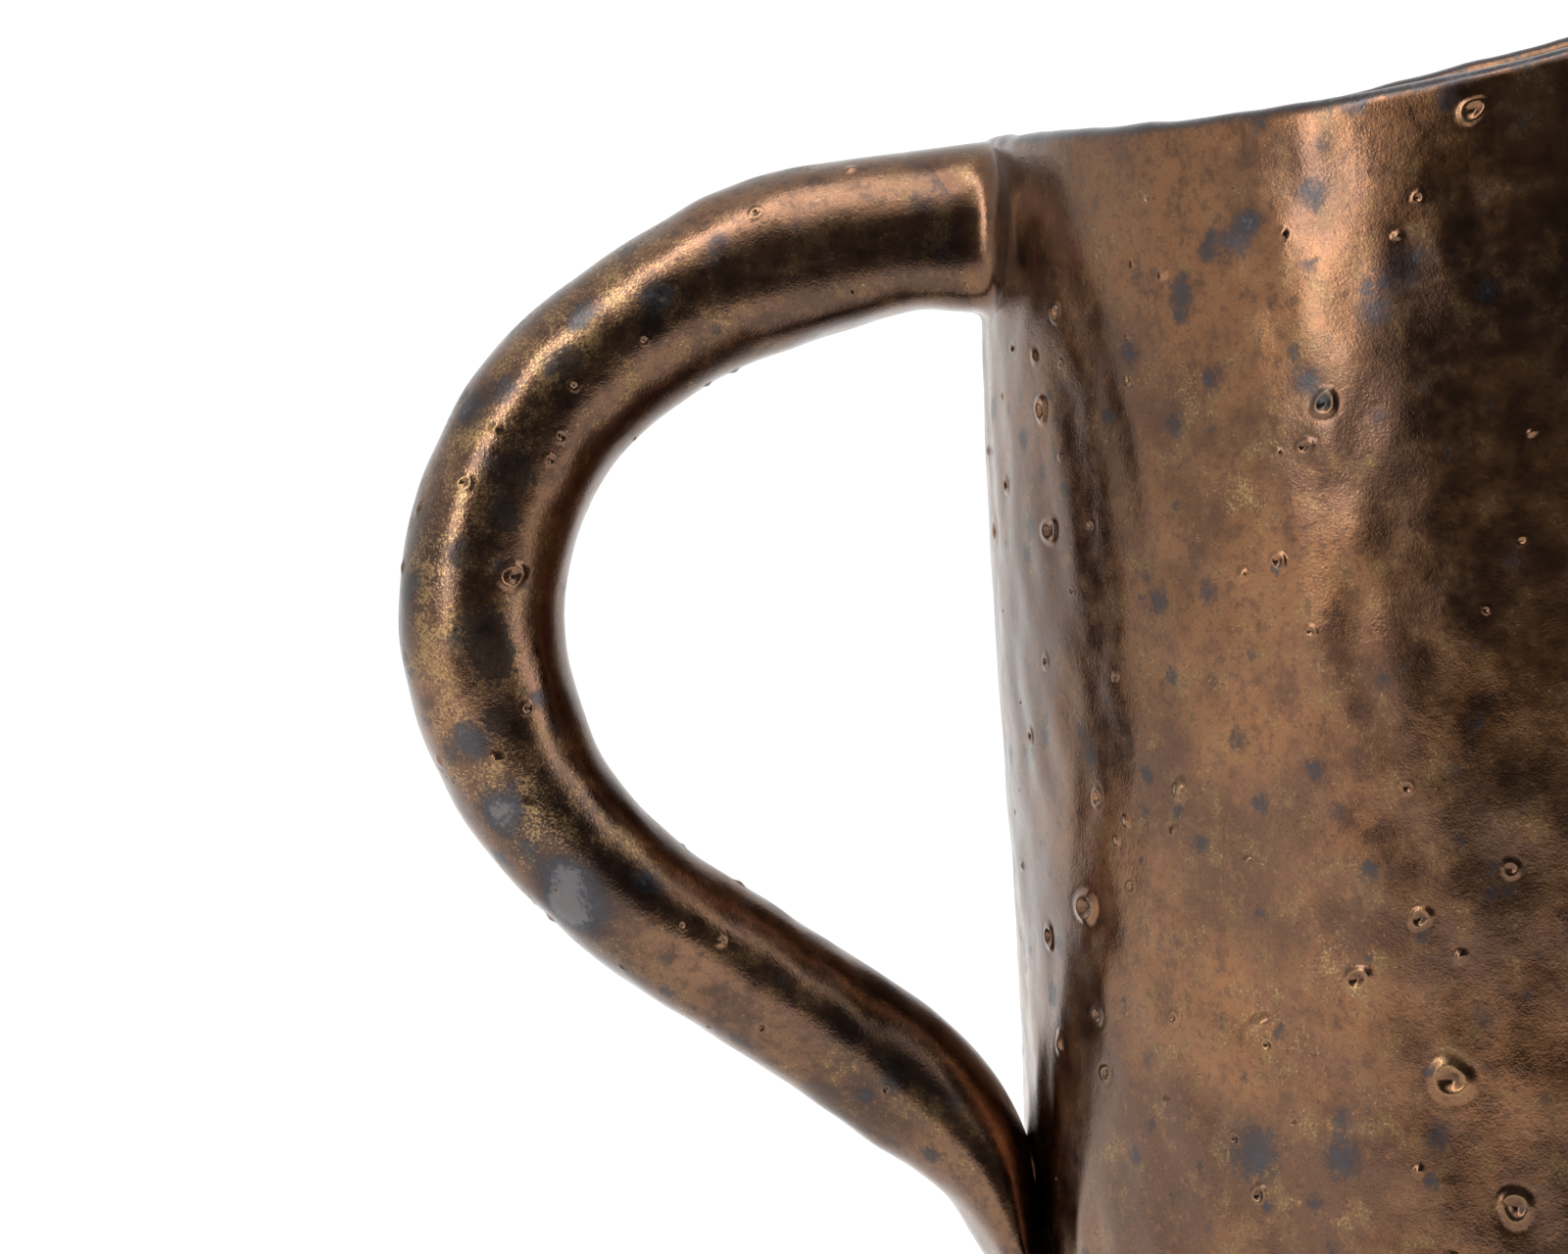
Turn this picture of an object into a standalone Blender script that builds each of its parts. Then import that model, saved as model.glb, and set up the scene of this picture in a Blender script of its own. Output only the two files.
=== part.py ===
"""Hand-built stoneware milk jug: a round body, an upswept pouring spout and a pulled loop handle.

The jug stands on Z = 0 with +Z up. The handle is on -X, the spout is on +X, and the XZ plane is its
plane of symmetry. Each piece is one that the potter makes by itself and lutes to the others with
slip, and the slip joint between two pieces is the gap SLIP.
"""

import math

import bmesh
import bpy
import numpy as np
from mathutils import Vector

MM = 0.001

# Body, as outer sizes of the wall
RIM_RADIUS = 47.0 * MM
WAIST_RADIUS = 43.6 * MM
FOOT_FLARE = 0.8 * MM  # how much wider than the waist the foot is
RIM_HEIGHT = 105.0 * MM  # at the handle
WAIST_HEIGHT = 25.0 * MM
STRAIGHT_NECK = 10.0 * MM  # the stretch under the rim that no longer widens
WALL_THICKNESS = 3.8 * MM  # at the foot
RIM_THICKNESS = 2.2 * MM
BASE_THICKNESS = 5.5 * MM
BASE_ROUNDING = 1.5 * MM

# Spout
SPOUT_RISE = 21.4 * MM  # how far the round rim climbs from the handle to the spout
RIM_EASE = 30.0 * MM  # over this run the rim turns from level to climbing
BEAK_REACH = 14.0 * MM  # how far the lip stands out past the round rim
BEAK_DEPTH = 42.0 * MM  # how far below the lip the beak begins to swell
BEAK_SPREAD = 0.36  # radians from the middle at which the beak has sunk to 1/e
BEAK_CURVE = 1.7  # above 1 the beak leaves the wall softly
NOTCH_DEPTH = 46.0 * MM  # from the lip down to the point of the V cut in the wall
NOTCH_HALF_WIDTH = 24.0 * MM
NOTCH_SHOULDER = 9.0 * MM  # height of the notch's upright sides, under the rim

# Handle: a pulled rod, round in section
HANDLE_REACH = 37.4 * MM  # from the wall to the middle of the rod, where it stands out most
HANDLE_DROP = 83.2 * MM  # from the middle of the root down to the tip of the tail
HANDLE_RADIUS = 6.1 * MM  # upper limb and grip
LOWER_LIMB_RADIUS = 5.2 * MM
TAIL_RADIUS = 0.9 * MM
TAIL_HALF_WIDTH = 8.0 * MM  # where the tail is pressed widest on to the wall
TIP_HALF_WIDTH = 3.5 * MM
ROOT_BELOW_RIM = 0.9 * MM  # from the rim to the top of the root
ROOT_SUNK = 2.5 * MM  # how far the rod's first point lies inside the wall's face

# The rod's middle line from root to tail: (out from the wall / HANDLE_REACH, down / HANDLE_DROP)
HANDLE_LINE = [
    (0.19, 0.002),
    (0.53, 0.049),
    (0.85, 0.157),
    (1.00, 0.314),
    (0.95, 0.463),
    (0.77, 0.572),
    (0.52, 0.653),
    (0.27, 0.732),
    (0.11, 0.803),
    (0.04, 0.890),
    (0.00, 1.000),
]

# Luting clay
SLIP = 0.3 * MM  # the joint between two pieces
FLOOR_COIL_SIZE = 4.5 * MM  # height and width of the coil in the inside corner
SEAM_COIL_RADIUS = 1.5 * MM
COLLAR_WIDTH = 2.4 * MM  # out from the rod
COLLAR_HEIGHT = 1.8 * MM  # out from the wall

# Fineness of the meshes
AROUND = 64
WALL_LEVELS = 11
ROD_STATIONS = 46
ROD_SIDES = 16
COIL_SIDES = 8
CUTTER_MARGIN = 12.0 * MM

BRONZE = (0.118, 0.062, 0.035, 1.0)
DARK_BRONZE = (0.052, 0.030, 0.020, 1.0)
BARE_CLAY = (0.150, 0.105, 0.078, 1.0)


# ---------------------------------------------------------------- outline of the jug

def ease(value):
    """A smooth step: 0 below 0, 1 above 1, and a cosine in between."""
    return (1 - np.cos(np.pi * np.clip(value, 0, 1))) / 2


def outer_radius(height):
    """Radius of the round wall's outer face: a waist, an ease out to the rim, a soft flare at the foot."""
    widening = RIM_HEIGHT - STRAIGHT_NECK - WAIST_HEIGHT
    radius = WAIST_RADIUS + (RIM_RADIUS - WAIST_RADIUS) * ease((height - WAIST_HEIGHT) / widening)
    return radius + FOOT_FLARE * np.clip(1 - height / WAIST_HEIGHT, 0, 1) ** 2


def beak(angle):
    """How far the lip stands out past the round rim, at an angle from the spout: a bell curve."""
    return BEAK_REACH * np.exp(-((angle / BEAK_SPREAD) ** 2))


def rim_height(angle):
    """Height of the rim: level at the handle and climbing towards the spout, on a hyperbola."""
    run = ((RIM_RADIUS + beak(angle)) * np.cos(angle) + RIM_RADIUS) / RIM_EASE
    full_run = 2 * RIM_RADIUS / RIM_EASE
    return RIM_HEIGHT + SPOUT_RISE * (np.hypot(1, run) - 1) / (math.hypot(1, full_run) - 1)


def face_radius(angle, height):
    """Radius of the outer face with the beak, which swells towards the rim."""
    lift = np.clip((height - rim_height(angle) + BEAK_DEPTH) / BEAK_DEPTH, 0, None)
    return outer_radius(height) + beak(angle) * lift**BEAK_CURVE


def cheek_stretch(angle, share):
    """How much longer the wall's thickness is along the radius where the beak's cheek runs across it.

    share is 0 at the foot and 1 at the rim.
    """
    return np.hypot(1, 2 * angle / BEAK_SPREAD**2 * beak(angle) * share**2 / RIM_RADIUS)


def inner_radius(angle, height, clear=0.0):
    """Radius of the inner face, or of a point that stays clear of it by a distance."""
    foot = BASE_THICKNESS + SLIP
    share = (height - foot) / (rim_height(angle) - RIM_THICKNESS / 2 - foot)
    thickness = WALL_THICKNESS + (RIM_THICKNESS - WALL_THICKNESS) * share
    return face_radius(angle, height) - (thickness + clear) * cheek_stretch(angle, share)


# ---------------------------------------------------------------- Blender helpers

def clear_scene():
    for old in list(bpy.data.objects):
        bpy.data.objects.remove(old, do_unlink=True)


def finish_material(name, color, roughness, metallic):
    material = bpy.data.materials.new(name)
    material.use_nodes = True
    shader = material.node_tree.nodes["Principled BSDF"]
    shader.inputs["Base Color"].default_value = color
    shader.inputs["Roughness"].default_value = roughness
    shader.inputs["Metallic"].default_value = metallic
    return material


def mesh_from_grid(name, points, close_rows, close_columns):
    """A mesh from a grid of points, one row after the other, closed round on itself where asked.

    A row left open at its ends is an end ring, which gets a flat face.
    """
    rows, columns = points.shape[:2]
    mesh = bpy.data.meshes.new(name)
    sheet = bmesh.new()
    grid = [[sheet.verts.new(point) for point in row] for row in points]
    for i in range(rows if close_rows else rows - 1):
        for j in range(columns if close_columns else columns - 1):
            after_i, after_j = (i + 1) % rows, (j + 1) % columns
            sheet.faces.new((grid[i][j], grid[after_i][j], grid[after_i][after_j], grid[i][after_j]))
    if not close_rows:
        sheet.faces.new(grid[0])
        sheet.faces.new(reversed(grid[-1]))
    bmesh.ops.recalc_face_normals(sheet, faces=sheet.faces)
    sheet.to_mesh(mesh)
    sheet.free()
    return mesh


def add_object(name, mesh, material=None):
    """Link a mesh to the scene: with a material it is a piece, and without one it is a cutter."""
    piece = bpy.data.objects.new(name, mesh)
    bpy.context.scene.collection.objects.link(piece)
    if material is None:
        piece.hide_render = True
        piece.display_type = "WIRE"
    else:
        mesh.materials.append(material)
        mesh.shade_smooth()
        mesh.set_sharp_from_angle(angle=math.radians(40))
    return piece


def cut(piece, cutter, operation="DIFFERENCE"):
    boolean = piece.modifiers.new(cutter.name, "BOOLEAN")
    boolean.operation = operation
    boolean.object = cutter
    boolean.solver = "EXACT"


def turned(name, profile):
    """A solid turned about Z from (radius, height) points whose first and last are on the axis."""
    body = bmesh.new()
    verts = [body.verts.new((radius, 0, height)) for radius, height in profile]
    edges = [body.edges.new(pair) for pair in zip(verts, verts[1:])]
    bmesh.ops.spin(body, geom=verts + edges, cent=(0, 0, 0), axis=(0, 0, 1),
                   angle=math.tau, steps=AROUND, use_merge=True)
    bmesh.ops.remove_doubles(body, verts=body.verts, dist=1e-6)
    bmesh.ops.recalc_face_normals(body, faces=body.faces)
    mesh = bpy.data.meshes.new(name)
    body.to_mesh(mesh)
    body.free()
    return mesh


def rod(name, points, side_vectors, half_widths, half_depths, sides):
    """A rod along points, with flat ends.

    Its section is an oval: half_widths are measured along side_vectors and half_depths across them.
    """
    rings = []
    for k, (point, side) in enumerate(zip(points, side_vectors)):
        along = (points[min(k + 1, len(points) - 1)] - points[max(k - 1, 0)]).normalized()
        side = (side - side.dot(along) * along).normalized()
        across = side * float(half_widths[k])
        third = along.cross(side) * float(half_depths[k])
        rings.append([point + math.cos(turn) * across + math.sin(turn) * third
                      for turn in np.arange(sides) * math.tau / sides])
    return mesh_from_grid(name, np.array(rings), False, True)


# ---------------------------------------------------------------- body, base and spout

def body_shell(name):
    """The whole wall before the spout is cut from it: up the outer face, over the rim and down inside."""
    foot = BASE_THICKNESS + SLIP
    edge = RIM_THICKNESS / 2
    shares = np.linspace(0, 1, WALL_LEVELS) ** 0.8
    columns = []
    for turn in np.arange(AROUND) * math.tau / AROUND:
        angle = (turn + math.pi) % math.tau - math.pi
        top = rim_height(angle) - edge
        heights = foot + (top - foot) * shares
        outer = face_radius(angle, heights)
        inner = inner_radius(angle, heights)
        middle, half = (outer[-1] + inner[-1]) / 2, (outer[-1] - inner[-1]) / 2
        over = [(middle + half * math.cos(bow), top + edge * math.sin(bow))
                for bow in (math.pi / 4, math.pi / 2, 3 * math.pi / 4)]
        section = [*zip(outer, heights), *over, *zip(inner[::-1], heights[::-1])]
        columns.append([(r * math.cos(angle), r * math.sin(angle), z) for r, z in section])
    return mesh_from_grid(name, np.array(columns), True, True)


def notch_outline(inset):
    """The spout's cut seen along X, as (y, z) points: a V with short upright sides.

    inset moves every edge in by that much, which makes the spout's own outline.
    """
    point = float(rim_height(0.0)) - NOTCH_DEPTH
    shoulder = float(rim_height(NOTCH_HALF_WIDTH / RIM_RADIUS)) - NOTCH_SHOULDER
    slope = (shoulder - point) / NOTCH_HALF_WIDTH
    point += inset * math.hypot(1, slope)
    half_width = NOTCH_HALF_WIDTH - inset
    shoulder = point + slope * half_width
    above = float(rim_height(0.0)) + SPOUT_RISE + CUTTER_MARGIN
    return [(0, point), (half_width, shoulder), (half_width, above), (-half_width, above),
            (-half_width, shoulder)]


def notch_cutter(name, inset):
    far = RIM_RADIUS + BEAK_REACH + CUTTER_MARGIN
    outline = notch_outline(inset)
    ends = np.array([[(x, y, z) for y, z in outline] for x in (0.0, far)])
    return add_object(name, mesh_from_grid(name, ends, False, True))


def make_body_wall(glaze):
    wall = add_object("body_wall", body_shell("body_wall"), glaze)
    cut(wall, notch_cutter("spout_notch", 0.0))


def make_pouring_spout(glaze):
    spout = add_object("pouring_spout", body_shell("pouring_spout"), glaze)
    cut(spout, notch_cutter("spout_outline", SLIP), "INTERSECT")


def make_base_slab(clay):
    """The round slab that the wall stands on, with its lower edge rounded."""
    flat = float(outer_radius(0.0)) - BASE_ROUNDING
    edge = [(flat + BASE_ROUNDING * math.sin(bow), BASE_ROUNDING * (1 - math.cos(bow)))
            for bow in np.linspace(0, math.pi / 2, 4)]
    top = (float(outer_radius(BASE_THICKNESS)), BASE_THICKNESS)
    add_object("base_slab", turned("base_slab", [(0, 0), *edge, top, (0, BASE_THICKNESS)]), clay)


def make_floor_coil(glaze):
    """The coil smoothed into the inside corner: a ring with a hollow face, like a cove."""
    low = BASE_THICKNESS + SLIP
    high = low + FLOOR_COIL_SIZE
    wall = float(inner_radius(math.pi, low, SLIP))
    cove = [(wall - FLOOR_COIL_SIZE * (1 - 0.85 * math.sin(bow)),
             low + FLOOR_COIL_SIZE * (1 - 0.85 * math.cos(bow)))
            for bow in np.linspace(0, math.pi / 2, 4)]
    section = [(wall, low), (float(inner_radius(math.pi, high, SLIP)), high), *reversed(cove),
               (wall - FLOOR_COIL_SIZE, low)]
    rings = np.array([[(r * math.cos(turn), r * math.sin(turn), z) for r, z in section]
                      for turn in np.arange(AROUND) * math.tau / AROUND])
    add_object("floor_coil", mesh_from_grid("floor_coil", rings, True, True), glaze)


def make_spout_seam_coil(glaze):
    """The coil pressed along the inside of the spout's seam, down one side of the V and up the other."""
    (_, point), (half_width, shoulder) = notch_outline(SLIP / 2)[:2]
    steps = 15
    line, sides = [], []
    for share in np.linspace(-1, 1, 2 * steps + 1):
        climb = math.hypot(share, 0.06) - 0.06
        y, z = half_width * share * 0.97, point + (shoulder - point) * climb
        angle = math.asin(y / RIM_RADIUS)
        for _ in range(4):
            radius = float(inner_radius(angle, z, SLIP + SEAM_COIL_RADIUS))
            angle = math.asin(y / radius)
        outward = Vector((math.cos(angle), math.sin(angle), 0))
        line.append(radius * outward + Vector((0, 0, z)))
        sides.append(outward)
    radii = [SEAM_COIL_RADIUS] * len(line)
    coil = rod("spout_seam_coil", line, sides, radii, radii, COIL_SIDES)
    add_object("spout_seam_coil", coil, glaze)


# ---------------------------------------------------------------- handle and its collars

def through(knots, count):
    """A smooth curve through the knots (Catmull-Rom), read at count even steps."""
    knots = np.array([2 * knots[0] - knots[1], *knots, 2 * knots[-1] - knots[-2]])
    position = np.linspace(0, len(knots) - 3, count)
    first = np.minimum(position.astype(int), len(knots) - 4)
    t = (position - first)[:, None]
    a, b, c, d = (knots[first + k] for k in range(4))
    return 0.5 * (2 * b + (c - a) * t + (2 * a - 5 * b + 4 * c - d) * t**2
                  + (3 * b - a - 3 * c + d) * t**3)


def rod_middle():
    """The handle's middle line, root to tail, in the XZ plane, and half its depth and width along it."""
    root_height = RIM_HEIGHT - ROOT_BELOW_RIM - HANDLE_RADIUS
    knots = [(-ROOT_SUNK, root_height)]
    knots += [(out * HANDLE_REACH, root_height - down * HANDLE_DROP) for out, down in HANDLE_LINE]
    curve = through(np.array(knots), ROD_STATIONS)
    line = [Vector((-float(outer_radius(z)) - out, 0, z)) for out, z in curve]
    share = np.linspace(0, 1, ROD_STATIONS)
    slimmed = HANDLE_RADIUS + (LOWER_LIMB_RADIUS - HANDLE_RADIUS) * ease((share - 0.33) / 0.20)
    depths = slimmed + (TAIL_RADIUS - LOWER_LIMB_RADIUS) * ease((share - 0.74) / 0.24)
    widths = slimmed + (TAIL_HALF_WIDTH - LOWER_LIMB_RADIUS) * ease((share - 0.72) / 0.16)
    widths += (TIP_HALF_WIDTH - TAIL_HALF_WIDTH) * ease((share - 0.90) / 0.10)
    return line, depths, widths


def handle_rod(name, grow=0.0, first=0, last=ROD_STATIONS):
    """The handle's rod between two stations, with its section and its ends grown by the same amount."""
    line, depths, widths = (values[first:last] for values in rod_middle())
    line[0] += (line[0] - line[1]).normalized() * grow
    line[-1] += (line[-1] - line[-2]).normalized() * grow
    sideways = [Vector((0, 1, 0))] * len(line)
    return rod(name, line, sideways, widths + grow, depths + grow, ROD_SIDES)


def wall_envelope(name, grow, top):
    """A solid that fills the round body and stands out from its face by grow."""
    heights = np.linspace(-CUTTER_MARGIN, top, 2 * WALL_LEVELS)
    face = [(float(outer_radius(z)) + grow, z) for z in heights]
    return add_object(name, turned(name, [(0, heights[0]), *face, (0, heights[-1])]))


def make_handle(glaze, wall_clearance):
    handle = add_object("handle", handle_rod("handle"), glaze)
    cut(handle, wall_clearance)


def make_collar(name, glaze, first, last, wall_clearance, rod_clearance):
    """A collar of luting clay: what is near both the rod and the wall, clear of each."""
    collar = add_object(name, handle_rod(name, COLLAR_WIDTH, first, last), glaze)
    band = wall_envelope(name + "_band", COLLAR_HEIGHT, RIM_HEIGHT - RIM_THICKNESS / 2)
    cut(collar, band, "INTERSECT")
    cut(collar, rod_clearance)
    cut(collar, wall_clearance)


def main():
    clear_scene()
    wall_glaze = finish_material("bronze_glaze_wall", BRONZE, 0.38, 1.0)
    rod_glaze = finish_material("bronze_glaze_handle", BRONZE, 0.34, 1.0)
    seam_glaze = finish_material("bronze_glaze_seams", DARK_BRONZE, 0.42, 1.0)
    clay = finish_material("bare_clay", BARE_CLAY, 0.85, 0.0)
    make_body_wall(wall_glaze)
    make_pouring_spout(wall_glaze)
    make_base_slab(clay)
    make_floor_coil(seam_glaze)
    make_spout_seam_coil(seam_glaze)
    wall_clearance = wall_envelope("wall_clearance", SLIP, RIM_HEIGHT + CUTTER_MARGIN)
    rod_clearance = add_object("rod_clearance", handle_rod("rod_clearance", SLIP))
    make_handle(rod_glaze, wall_clearance)
    quarter = ROD_STATIONS // 6
    make_collar("upper_handle_collar", seam_glaze, 0, quarter, wall_clearance, rod_clearance)
    make_collar("lower_handle_collar", seam_glaze, ROD_STATIONS - 2 * quarter, ROD_STATIONS,
                wall_clearance, rod_clearance)


main()
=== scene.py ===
"""The looks of a hand-built stoneware milk jug with a metallic bronze glaze.

A glazed piece starts as a flat sheet of points, dense around each burst bubble in the glaze. The sheet
is cut into triangles, and a formula then carries its points on to the jug and raises the relief. The
jug stands on Z = 0 with its handle on -X and its spout on +X.
"""

import logging
import math
from collections.abc import Callable
from dataclasses import dataclass, field
from enum import Enum

import bmesh
import bpy
import numpy as np
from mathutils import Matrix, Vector
from mathutils.geometry import delaunay_2d_cdt


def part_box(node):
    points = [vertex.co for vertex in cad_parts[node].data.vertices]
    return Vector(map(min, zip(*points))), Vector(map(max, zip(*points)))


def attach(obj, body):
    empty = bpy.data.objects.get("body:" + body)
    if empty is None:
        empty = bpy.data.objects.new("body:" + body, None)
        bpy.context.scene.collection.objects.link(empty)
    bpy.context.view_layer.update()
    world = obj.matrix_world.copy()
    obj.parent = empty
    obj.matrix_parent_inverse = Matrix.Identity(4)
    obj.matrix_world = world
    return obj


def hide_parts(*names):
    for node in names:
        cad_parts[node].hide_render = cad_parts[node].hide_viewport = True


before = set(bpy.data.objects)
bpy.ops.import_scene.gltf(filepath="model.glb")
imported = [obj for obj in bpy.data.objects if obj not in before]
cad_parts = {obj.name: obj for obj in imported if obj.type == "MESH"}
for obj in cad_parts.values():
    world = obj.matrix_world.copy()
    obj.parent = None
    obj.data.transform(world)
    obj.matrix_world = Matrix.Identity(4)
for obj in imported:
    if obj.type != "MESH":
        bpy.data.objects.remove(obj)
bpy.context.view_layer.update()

LOG = logging.getLogger("milk_jug")
MM = 0.001
BODY = "root"
SHARP_ANGLE = math.radians(50)
WELD = 0.002 * MM
KEEP_HULL, NEAREST_MM = 0, 1e-5  # what the triangulation keeps, and how close two points may be

Array = np.ndarray
Place = Callable[[Array], Array]
Socket = bpy.types.NodeSocket
Color = tuple[float, float, float, float]


# ---------------------------------------------------------------- formulas

def ease(value: Array | float) -> Array | float:
    """Smooth step: 0 below 0, 1 above 1, and half a cosine wave in between."""
    return (1 - np.cos(np.pi * np.clip(value, 0, 1))) / 2


def passed(along: Array, stretch: tuple[float, float]) -> Array:
    """How far along has passed a stretch, given as where it starts and how long it is, eased."""
    return ease((along - stretch[0]) / stretch[1])


def bell(distance: Array, width: float) -> Array:
    """Bell curve: e to the power of minus the square of distance over width."""
    return np.exp(-((distance / width) ** 2))


def unit(vectors: Array) -> Array:
    """Each row divided by its own length."""
    return vectors / np.linalg.norm(vectors, axis=-1, keepdims=True)


def outward(place: Place, flat: Array, step: float = 0.04 * MM) -> Array:
    """Unit normals of a surface, from the cross product of its two slopes.

    Args:
        place: the formula that carries flat points on to the surface.
        flat: the flat points, one (across, along) pair a row.
        step: how far to each side the slopes are measured.

    Returns:
        One unit normal a row.
    """
    across, along = np.array([step, 0.0]), np.array([0.0, step])
    slope_across = place(flat + across) - place(flat - across)
    slope_along = place(flat + along) - place(flat - along)
    return unit(np.cross(slope_across, slope_along))


def through(knots: Array, count: int) -> Array:
    """A Catmull-Rom curve through the knots.

    Args:
        knots: the points that the curve passes, one a row.
        count: how many points to read from the curve, at even steps between knots.

    Returns:
        The points read, one a row.
    """
    knots = np.vstack([2 * knots[0] - knots[1], knots, 2 * knots[-1] - knots[-2]])
    position = np.linspace(0, len(knots) - 3, count)
    first = np.minimum(position.astype(int), len(knots) - 4)
    t = (position - first)[:, None]
    a, b, c, d = (knots[first + k] for k in range(4))
    return 0.5 * (2 * b + (c - a) * t + (2 * a - 5 * b + 4 * c - d) * t**2
                  + (3 * b - a - 3 * c + d) * t**3)


@dataclass(frozen=True)
class Waves:
    """A smooth random relief: plane waves added up, each with its own heading, length and phase.

    Hands and gravity leave ridges that run up the wall, so the headings' upright share is reduced.
    """

    shortest: float
    longest: float
    height: float
    seed: int
    count: int = 44
    upright: float = 0.4

    def at(self, places: Array) -> Array:
        """Height of the relief: the sum of the cosines, scaled to the wanted spread.

        Args:
            places: points in space, one a row.

        Returns:
            One height a point, with a standard deviation of about self.height.
        """
        rng = np.random.default_rng(self.seed)
        headings = unit(rng.normal(size=(self.count, 3))) * (1, 1, self.upright)
        lengths = rng.uniform(self.shortest, self.longest, self.count)
        phases = rng.uniform(0, math.tau, self.count)
        turns = places @ (headings * math.tau / lengths[:, None]).T + phases
        return self.height * math.sqrt(2 / self.count) * np.cos(turns).sum(axis=1)


HAND_WAVES = Waves(11 * MM, 26 * MM, 0.045 * MM, seed=3)
LUMP_WAVES = Waves(3.0 * MM, 7.0 * MM, 0.036 * MM, seed=8, upright=0.6)


def kiln_relief(places: Array) -> Array:
    """Relief that the whole jug shares: the hand's slow waves and the glaze's lumps, added."""
    return HAND_WAVES.at(places) + LUMP_WAVES.at(places)


# ---------------------------------------------------------------- marks in the glaze

# Values that the mesh holds at each point: the marks' painted shading, the blooms with the painted
# reflection along the rim, darkening that is partly painted shade, and gold painted highlights.
LOOKS = ("painted_shading", "bloom_and_rim_sheen", "darkening", "painted_highlight")


def raised(place: Place, flat: Array) -> Array:
    """Points of a surface with the shared relief, which is added along the surface's normals."""
    smooth = place(flat)
    return smooth + outward(place, flat) * kiln_relief(smooth)[:, None]


class MarkKind(Enum):
    """What a bubble left in the glaze, as (ring height, dimple depth, dome height) over its radius."""

    RING = (0.115, 0.19, 0.0)
    PIT = (0.05, 0.30, 0.0)
    BLISTER = (0.0, 0.04, 0.30)


@dataclass(frozen=True)
class Mark:
    """One burst or healed bubble: its place on a flat sheet, its radius and its kind."""

    across: float
    along: float
    radius: float
    kind: MarkKind

    REACH = 1.8
    RING_AT = 0.66

    def distance(self, flat: Array) -> Array:
        """Distance from the middle over the radius, which wavers as it goes round.

        Args:
            flat: flat points, one a row.

        Returns:
            One distance a point, 1 where the mark ends.
        """
        right, up = flat[:, 0] - self.across, flat[:, 1] - self.along
        turn, start = np.arctan2(up, right), (self.across + 3 * self.along) / MM
        waver = 1 + 0.10 * np.cos(2 * turn + start) + 0.06 * np.cos(3 * turn - 2 * start)
        return np.hypot(right, up) / self.radius * waver

    def points(self, fine: bool) -> Array:
        """Flat points in circles around the middle, closest where the ring and the dimple are.

        Args:
            fine: whether the mark is one that is looked at closely.

        Returns:
            The points, one a row.
        """
        shares = np.linspace(0.12, 1, 12 if fine else 7) ** 1.25 * (self.REACH - 0.1)
        circles = [np.zeros((1, 2))]
        for k, share in enumerate(shares):
            count = int((11 + 13 * share) * (1.0 if fine else 0.62))
            turns = (np.arange(count) + 0.5 * (k % 2)) * math.tau / count
            circles.append(share * np.column_stack([np.cos(turns), np.sin(turns)]))
        return np.vstack(circles) * self.radius + (self.across, self.along)

    def relief(self, share: Array) -> Array:
        """Height over the sheet: a ring, less a dimple and a shallow moat, plus a dome.

        Args:
            share: distance from the middle over the radius.

        Returns:
            One height a distance.
        """
        ring, dimple, dome = self.kind.value
        shape = ring * bell(share - self.RING_AT, 0.25) - dimple * bell(share, 0.36)
        shape += dome * bell(share, 0.62) - 0.015 * bell(share - 1.15, 0.25)
        return shape * self.radius

    def painted_shading(self, share: Array) -> Array:
        """Painted light of the mark: a bell curve on the crest, painted as a highlight, less one in the
        dimple, painted as shade.

        Args:
            share: distance from the middle over the radius.

        Returns:
            One value a distance, towards 1 on a crest and towards -1 in the dimple.
        """
        crest = bell(share, 0.55) if self.kind is MarkKind.BLISTER else bell(share - self.RING_AT, 0.22)
        return crest * 0.9 - bell(share, 0.36) * (0.0 if self.kind is MarkKind.BLISTER else 1.0)


@dataclass(frozen=True)
class Spot:
    """A cloudy spot: its place on a flat sheet, its radius and strength. The blooms, where the glaze
    crystallised, are such spots, and so are the spots of painted highlight and painted shade.
    """

    across: float
    along: float
    radius: float
    strength: float = 1.0


def scattered(rng: np.random.Generator, low: tuple[float, float], high: tuple[float, float],
              count: int, placed: list[Mark]) -> list[Mark]:
    """Marks at random places, clear of each other and of those already placed.

    Args:
        rng: the seeded source of random numbers.
        low: the least (across, along) of the area.
        high: the greatest (across, along) of the area.
        count: how many places are tried.
        placed: marks that are there already.

    Returns:
        The placed marks, and after them the new ones that found room.
    """
    marks = list(placed)
    kinds = list(MarkKind)
    for _ in range(count):
        across, along = rng.uniform(low, high)
        radius = float(np.clip(rng.lognormal(math.log(0.50), 0.40), 0.28, 1.3)) * MM
        kind = kinds[rng.choice(len(kinds), p=(0.26, 0.26, 0.48))]
        clear = [math.hypot(across - m.across, along - m.along) > 1.5 * (radius + m.radius)
                 for m in marks]
        if all(clear):
            marks.append(Mark(across, along, radius, kind))
    return marks


def spotted(flat: Array, spot_list: list[Spot]) -> Array:
    """Cloudiness of flat points: the bell curves of all spots, added.

    Args:
        flat: flat points, one a row.
        spot_list: the spots.

    Returns:
        One value a point, 0 where there is no spot.
    """
    total = np.zeros(len(flat))
    for each_spot in spot_list:
        away = np.hypot(flat[:, 0] - each_spot.across, flat[:, 1] - each_spot.along)
        total += each_spot.strength * bell(away, each_spot.radius)
    return total


# ---------------------------------------------------------------- flat sheets and pieces

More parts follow.
